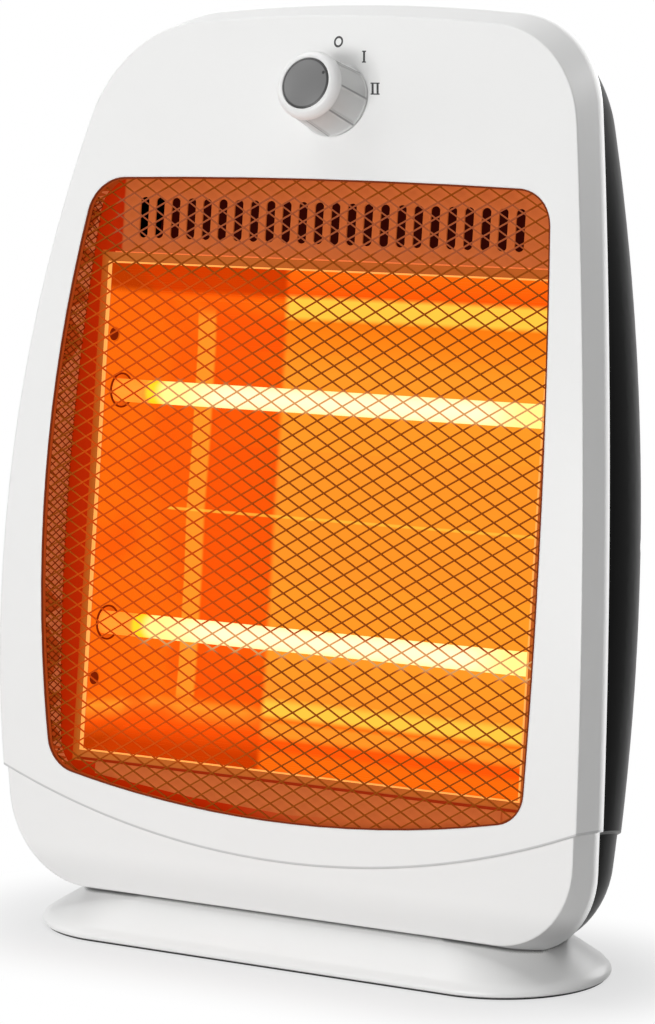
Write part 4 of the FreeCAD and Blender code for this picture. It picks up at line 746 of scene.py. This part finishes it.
# Wire guard
def thicken_guard(node):
    """Guard layer with its coating, which makes the wires a little thicker."""
    layer = node_copy(node)
    apply_modifier(layer, "DISPLACE", strength=0.07 * MM, mid_level=0.0)
    stand_in(layer, node, coated_wire)


def side_place(sign, z, back):
    """Place on the guard's side return: beside the window's edge, a distance behind the guard's bowed front."""
    half = 121.85
    front = BOW_Y - math.sqrt(GUARD_RADIUS ** 2 - (z - BOW_Z) ** 2)
    return Vector((sign * (half - (z - WINDOW_WIDEST) ** 2 / SIDE_BOW), front + back, z))


def make_side_return(name, sign):
    """Side of the guard that is bent back along the window's wall: short crossing wires."""
    levels, lowest, spacing, radius, behind, back_y = 80, 62.0, 3.3, 0.26, 0.4, -2.7
    deselect()
    bpy.ops.mesh.primitive_cylinder_add(vertices=8, radius=radius * MM, depth=1)
    wire = bpy.context.object
    wires = []
    for level in range(levels):
        for slope in (-1, 1):
            low = lowest + spacing * level
            start = side_place(sign, low, behind)
            deep = back_y - start.y
            end = side_place(sign, low + slope * deep * MESH_HIGH / MESH_WIDE, behind)
            end.y = start.y + deep
            run = (end - start) * MM
            piece = own_copy(wire)
            piece.matrix_world = (
                Matrix.Translation((start + end) / 2 * MM) @ run.to_track_quat("Z", "Y").to_matrix().to_4x4()
                @ Matrix.Diagonal((1, 1, run.length, 1)))
            wires.append(piece)
    bpy.data.objects.remove(wire)
    side = join_pieces(wires)
    fix_place(side)
    smooth(50)
    settle(side, f"guard_side_{name}", coated_wire, "heater", CASING)


thicken_guard("guard_front_wires")
thicken_guard("guard_rear_wires")
make_side_return("left", -1)
make_side_return("right", 1)


# Slotted panel
def make_slot_panel():
    """Panel above the reflector, its slots opened out to their full width."""
    count, span, height, slot_z, near, wider = 24, 183.6, 17.6, 310.9, 2.2, 1.22
    panel = node_copy("slot_panel")
    upright = CASING.inverted()
    spots = [upright @ vertex.co / MM for vertex in panel.data.vertices]
    for index in range(count):
        x = span / (count - 1) * index - span / 2
        edit_some(panel, "VERT", lambda vertex: (
            abs(spots[vertex.index].x - x) < near and abs(spots[vertex.index].z - slot_z) < height / 2 + 0.5))
        bpy.ops.transform.resize(value=(wider, 1, 1), center_override=(x * MM, 0, 0))
        bpy.ops.object.mode_set(mode="OBJECT")
    stand_in(panel, "slot_panel", panel_in_painted_glow)


def make_panel_fold(name, material, radius, length, y, z):
    """Rounded fold along the edge of a panel."""
    middle_x = 1.5
    deselect()
    bpy.ops.mesh.primitive_cylinder_add(
        vertices=16, radius=radius * MM, depth=length * MM, rotation=(0, math.pi / 2, 0))
    fold = bpy.context.object
    apply_modifier(fold, "BEVEL", width=radius / 2 * MM, segments=3, **SHARP_EDGES)
    smooth(40)
    place = CASING @ Matrix.Translation(Vector((middle_x, y, z)) * MM)
    settle(fold, name, material, "heater", place)


def make_slot_shade_sheet():
    """Dark sheet inside the casing behind the slots, put there for the shade seen through them, with a bent-over
    border.
    """
    wide, tall, y, z, turn = 200.0, 46.0, 26.0, 316.0, math.radians(78)
    deselect()
    bpy.ops.mesh.primitive_plane_add(size=1)
    slot_shade_sheet = bpy.context.object
    slot_shade_sheet.scale = (wide * MM, tall * MM, 1)
    fix_place(slot_shade_sheet)
    edit_all()
    bpy.ops.mesh.inset(thickness=2 * MM, depth=1.2 * MM)
    bpy.ops.object.mode_set(mode="OBJECT")
    apply_modifier(slot_shade_sheet, "SOLIDIFY", thickness=0.6 * MM)
    apply_modifier(slot_shade_sheet, "BEVEL", width=0.2 * MM, segments=2)
    place = CASING @ Matrix.Translation(Vector((0, y, z)) * MM) @ Matrix.Rotation(turn, 4, "X")
    settle(slot_shade_sheet, "sheet_for_shade_behind_slots", slot_shade_finish, "heater", place)


make_slot_panel()
# Folds with painted glow: an orange highlight line on the slot panel's fold, a red one on the lower panel's
make_panel_fold("slot_panel_fold", fold_sheet, 0.3, 214, -1.5, 295.6)
make_panel_fold("lower_panel_fold", red_fold, 0.6, 222, -2.0, 75.2)
make_slot_shade_sheet()


# Heating tubes
def make_coils():
    """Close-wound wire inside each tube: a small circle turned into a long screw, modelled once."""
    turns, pitch, thick, radius = 86, 2.5, 1.1, 3.1
    deselect()
    bpy.ops.mesh.primitive_circle_add(vertices=8, radius=thick / 2 * MM, location=(0, radius * MM, 0))
    coil = bpy.context.object
    fix_place(coil)
    apply_modifier(coil, "SCREW", axis="X", angle=2 * math.pi, iterations=turns, steps=14, render_steps=14,
                   screw_offset=pitch * MM)
    bpy.ops.object.shade_smooth()
    for name, z in TUBES:
        wound = own_copy(coil)
        place = CASING @ Matrix.Translation(Vector((-turns * pitch / 2, TUBE_Y, z)) * MM)
        settle(wound, f"coil_{name}", hot_wire, "heater", place)
        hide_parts(f"heating_coil_{name}")
    bpy.data.objects.remove(coil)


make_coils()
for tube in ("quartz_tube_upper", "quartz_tube_lower"):
    stand_in(node_copy(tube), tube, quartz)


# Folded edges and end holes of the reflector
def make_edge_bead():
    """Thin rolled bead round the mouth of the reflector, with a painted highlight glow along it; its left side is
    wider.
    """
    wide, wider, thick, y = 0.7, 1.0, 0.7, -0.65
    deselect()
    bpy.ops.mesh.primitive_plane_add(size=1)
    bead = bpy.context.object
    bead.scale = (2 * (MOUTH_HALF + wide) * MM, (MOUTH_HIGH - MOUTH_LOW + 2 * wide) * MM, 1)
    fix_place(bead)
    edit_all()
    bpy.ops.mesh.inset(thickness=wide * MM)
    bpy.ops.mesh.delete(type="ONLY_FACE")
    edit_some(bead, "VERT", lambda vertex: vertex.co.x < -(MOUTH_HALF + wide / 2) * MM)
    bpy.ops.transform.translate(value=(-wider * MM, 0, 0))
    bpy.ops.object.mode_set(mode="OBJECT")
    apply_modifier(bead, "SOLIDIFY", thickness=thick * MM, offset=1.0)
    apply_modifier(bead, "BEVEL", width=0.2 * MM, segments=3)
    middle = (MOUTH_LOW + MOUTH_HIGH) / 2
    place = CASING @ Matrix.Translation(Vector((0, y, middle)) * MM) @ Matrix.Rotation(math.pi / 2, 4, "X")
    settle(bead, "reflector_edge_bead", bead_sheet, "heater", place)


def make_hole_rim(radius, thick):
    """Rolled rim of a hole, lying round the X axis."""
    deselect()
    bpy.ops.mesh.primitive_circle_add(vertices=40, radius=radius * MM, rotation=(0, math.pi / 2, 0))
    rim = bpy.context.object
    fix_place(rim)
    edit_all()
    bpy.ops.mesh.extrude_region_move(TRANSFORM_OT_translate={"value": (thick * MM, 0, 0)})
    bpy.ops.object.mode_set(mode="OBJECT")
    apply_modifier(rim, "SOLIDIFY", thickness=thick * MM, offset=0.0)
    apply_modifier(rim, "BEVEL", width=0.3 * thick * MM, segments=2)
    smooth(60)
    return rim


def make_rivet(radius):
    """Domed rivet head, lying round the X axis."""
    thick, dome = 1.2, 0.55
    deselect()
    bpy.ops.mesh.primitive_cylinder_add(
        vertices=24, radius=radius * MM, depth=thick * MM, rotation=(0, math.pi / 2, 0))
    rivet = bpy.context.object
    fix_place(rivet)
    apply_modifier(rivet, "BEVEL", width=dome * MM, segments=4, **SHARP_EDGES)
    smooth(50)
    return rivet


def make_end_trim():
    """Insulating sheet behind each end of the reflector, rims of its tube holes, and rivets in its small holes."""
    flare = (MOUTH_HALF - BACK_HALF) / BACK_Y
    sheet_x, sheet_y, sheet_thick, sheet_deep, sheet_tall = 108.0, 11.0, 0.1, 19.0, 172.0
    middle = (MOUTH_LOW + MOUTH_HIGH) / 2
    rim, rivet = make_hole_rim(7.3, 0.8), make_rivet(2.8)
    trim = [(f"{name}_tube_rim", rim, TUBE_Y, z) for name, z in TUBES]
    trim += [("upper_rivet", rivet, 3.2, 260.0), ("lower_rivet", rivet, 3.6, 110.0)]
    for side, sign in (("left", -1), ("right", 1)):
        for name, model, y, z in trim:
            piece = own_copy(model)
            turn = Matrix.Rotation(sign * math.atan(flare), 4, "Z")
            place = CASING @ Matrix.Translation(Vector((sign * (MOUTH_HALF - flare * y), y, z)) * MM) @ turn
            settle(piece, f"{name}_{side}", rim_in_painted_glow, "heater", place)
        deselect()
        bpy.ops.mesh.primitive_cube_add(size=1)
        backing = bpy.context.object
        backing.scale = Vector((sheet_thick, sheet_deep, sheet_tall)) * MM
        fix_place(backing)
        apply_modifier(backing, "BEVEL", width=0.03 * MM, segments=2)
        place = CASING @ Matrix.Translation(Vector((sign * sheet_x, sheet_y, middle)) * MM)
        settle(backing, f"end_backing_{side}", backing_in_painted_glow, "heater", place)
    bpy.data.objects.remove(rim)
    bpy.data.objects.remove(rivet)


make_edge_bead()
make_end_trim()


# Knob
def make_knob():
    """Turned knob with a rounded collar in front and grip panels sunk into its side."""
    faces_per_panel, wall = 10, 13.0
    rings = [(0.5, 15.4), (0.8, 15.9), (GRIP_LOW, 15.88), (GRIP_HIGH, 14.75), (21.4, 14.7), (22.8, 14.4), (24.0, 13.6),
             (24.7, 12.7), (25.0, 11.9), (25.0, 11.1), (24.6, 10.95), (22.8, 10.9)]
    deselect()
    bpy.ops.mesh.primitive_circle_add(
        vertices=KNOB_PANELS * faces_per_panel, radius=rings[0][1] * MM, location=(0, 0, rings[0][0] * MM))
    knob = bpy.context.object
    fix_place(knob)
    edit_all()
    for (low, inner), (high, outer) in zip(rings, rings[1:]):
        bpy.ops.mesh.extrude_region_move(TRANSFORM_OT_translate={"value": (0, 0, (high - low) * MM)})
        bpy.ops.transform.resize(value=(outer / inner, outer / inner, 1), center_override=(0, 0, 0))
    bpy.ops.mesh.edge_face_add()
    bpy.ops.mesh.select_all(action="SELECT")
    bpy.ops.mesh.normals_make_consistent(inside=False)

    def panel_of(face):
        """Number of the grip panel that a face is on, or None for the grooves and the rest of the knob."""
        spot = math.atan2(face.center.y, face.center.x) / math.tau * KNOB_PANELS % KNOB_PANELS
        on_side = GRIP_LOW * MM < face.center.z < GRIP_HIGH * MM and face.center.xy.length > wall * MM
        return int(spot) if on_side and spot % 1 > GROOVE_SHARE else None

    for panel in range(KNOB_PANELS):
        edit_some(knob, "FACE", lambda face: panel_of(face) == panel)
        bpy.ops.mesh.inset(thickness=0.4 * MM, depth=-0.6 * MM)
    end_edit()
    apply_modifier(knob, "BEVEL", width=0.12 * MM, segments=2, limit_method="ANGLE", angle_limit=math.radians(35))
    smooth(40)
    settle(knob, "knob_body", white_knob, "knob_assembly", KNOB)
    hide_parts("knob")


make_knob()
stand_in(node_copy("knob_cap"), "knob_cap", grey_cap, "knob_assembly")


# Dial marks
def mark_bar(x, y, wide, high, turn=0.0):
    """Flat bar of a printed mark, with softened corners."""
    thick, soft = 0.12, 0.04
    deselect()
    bpy.ops.mesh.primitive_cube_add(size=1, location=(x * MM, y * MM, 0), rotation=(0, 0, turn))
    bar = bpy.context.object
    bar.scale = Vector((wide, high, thick)) * MM
    fix_place(bar)
    apply_modifier(bar, "BEVEL", width=soft * MM, segments=2)
    return bar


def make_marks():
    """Off ring and the two heat settings beside the knob; their stems are printed a little aslant."""
    stem, serif, tall, turn = 0.95, 0.5, 4.7, math.radians(11)
    one_wide, two_wide, aside, proud = 1.9, 4.3, 1.2, 0.05
    drift = math.tan(turn) * tall / 2
    deselect()
    bpy.ops.mesh.primitive_torus_add(
        major_segments=48, minor_segments=8, major_radius=1.85 * MM, minor_radius=0.42 * MM)
    ring = bpy.context.object
    ring.scale = (0.96, 1.12, 0.16)
    ring.rotation_euler = (0, 0, 1.5 * turn)
    fix_place(ring)
    bpy.ops.object.shade_smooth()
    one = join_pieces([mark_bar(0, 0, stem, tall, turn), mark_bar(-drift, tall / 2, one_wide, serif),
                       mark_bar(drift, -tall / 2, one_wide, serif)])
    two = join_pieces([mark_bar(-aside, 0, stem, tall, turn), mark_bar(aside, 0, stem, tall, turn),
                       mark_bar(-drift, tall / 2, two_wide, serif), mark_bar(drift, -tall / 2, two_wide, serif)])
    for mark, name, x, z in ((ring, "off", -0.2, 387.1), (one, "one", 13.5, 380.8), (two, "two", 21.5, 367.3)):
        settle(mark, f"mark_{name}", mark_ink, "heater", bow_point(x, z, proud))


make_marks()


# Stage: floor, lamps, sky and camera
def shown_rays(tree):
    """One for rays that see the background: the camera's, mirrored ones and those through glass."""
    ray = add_node(tree, "LightPath")
    direct = add_node(tree, "Math", LARGER, {0: ray.outputs["Is Camera Ray"], 1: ray.outputs["Is Transmission Ray"]})
    return add_node(tree, "Math", LARGER, {0: direct, 1: ray.outputs["Is Glossy Ray"]})


def make_floor():
    """Pale floor that keeps the shadow close to the foot and fades to white away from it."""
    fade_wide = 70.0
    deselect()
    bpy.ops.mesh.primitive_plane_add(size=12)
    floor = bpy.context.object
    floor.name = "floor"
    material = bpy.data.materials.new("pale_studio_floor")
    tree = empty_tree(material)
    place = add_node(tree, "TexCoord")
    parts = add_node(tree, "SeparateXYZ", None, {"Vector": place.outputs["Object"]})
    past = add_node(tree, "Math", MINUS, {
        0: add_node(tree, "Math", SIZE, {0: parts.outputs["X"]}), 1: (FOOT_HALF - FOOT_DEEP) * MM})
    past = add_node(tree, "Math", LARGER, {0: past, 1: 0.0})
    beside = add_node(tree, "Math", MINUS, {0: parts.outputs["Y"], 1: FOOT_Y * MM})
    away = add_node(tree, "VectorMath", LENGTH, {0: add_node(tree, "CombineXYZ", None, {"X": past, "Y": beside})})
    fade = add_node(tree, "MapRange", SMOOTH, {
        "Value": away, "From Min": FOOT_DEEP * MM, "From Max": (FOOT_DEEP + fade_wide) * MM, "To Min": 0.66})
    share = add_node(tree, "Math", TIMES, {0: fade, 1: shown_rays(tree)})
    matt = add_node(tree, "BsdfDiffuse", None, {"Color": linear("#D4D4D4")})
    white = add_node(tree, "Emission", None, {"Color": (1, 1, 1, 1), "Strength": 1.0})
    mix = add_node(tree, "MixShader", None, {0: share, 1: matt, 2: white})
    add_node(tree, "OutputMaterial", None, {"Surface": mix})
    floor.data.materials.append(material)


def make_lamps():
    """White sky that lights softly, and soft lamps from the front, the left, above and behind."""
    world = bpy.data.worlds.new("studio")
    bpy.context.scene.world = world
    tree = empty_tree(world)
    soft = add_node(tree, "Background", None, {"Color": (1, 1, 1, 1), "Strength": 0.2})
    white = add_node(tree, "Background", None, {"Color": (1, 1, 1, 1), "Strength": 1.0})
    sky = add_node(tree, "MixShader", None, {0: shown_rays(tree), 1: soft, 2: white})
    add_node(tree, "OutputWorld", None, {"Surface": sky})
    for name, place, aim, wide, high, power in (
            ("key", (0.0, -2.7, 0.34), (0, 0, 0.15), 1.6, 0.64, 38.5),
            ("left", (-2.2, -1.0, 0.9), (0, 0, 0.2), 1.2, 1.2, 5),
            ("above_left", (-0.8, 0.1, 1.9), (0, 0, 0.1), 1.2, 1.2, 14),
            ("above_right", (0.4, -0.1, 1.9), (0, 0, 0.1), 1.2, 1.2, 3),
            ("behind", (0.6, 2.4, 1.2), (0, 0, 0.2), 1.2, 1.2, 16)):
        deselect()
        bpy.ops.object.light_add(type="AREA", location=place)
        lamp = bpy.context.object
        lamp.name = name
        lamp.data.shape = "RECTANGLE"
        lamp.data.size = wide
        lamp.data.size_y = high
        lamp.data.energy = power
        lamp.rotation_euler = (Vector(aim) - Vector(place)).to_track_quat("-Z", "Y").to_euler()


def make_camera():
    """Camera at the photographed angle."""
    place = Vector((830.6, -1396.5, 404.0)) * MM
    aim = Vector((22.05, CASING_Y, 192.6)) * MM
    deselect()
    bpy.ops.object.camera_add(location=place)
    camera = bpy.context.object
    camera.rotation_euler = (aim - place).to_track_quat("-Z", "Y").to_euler()
    camera.data.lens = 135.0
    camera.data.sensor_width = 36
    camera.data.clip_end = 50
    bpy.context.scene.camera = camera


make_floor()
make_lamps()
make_camera()
bpy.context.scene.view_settings.view_transform = "Standard"
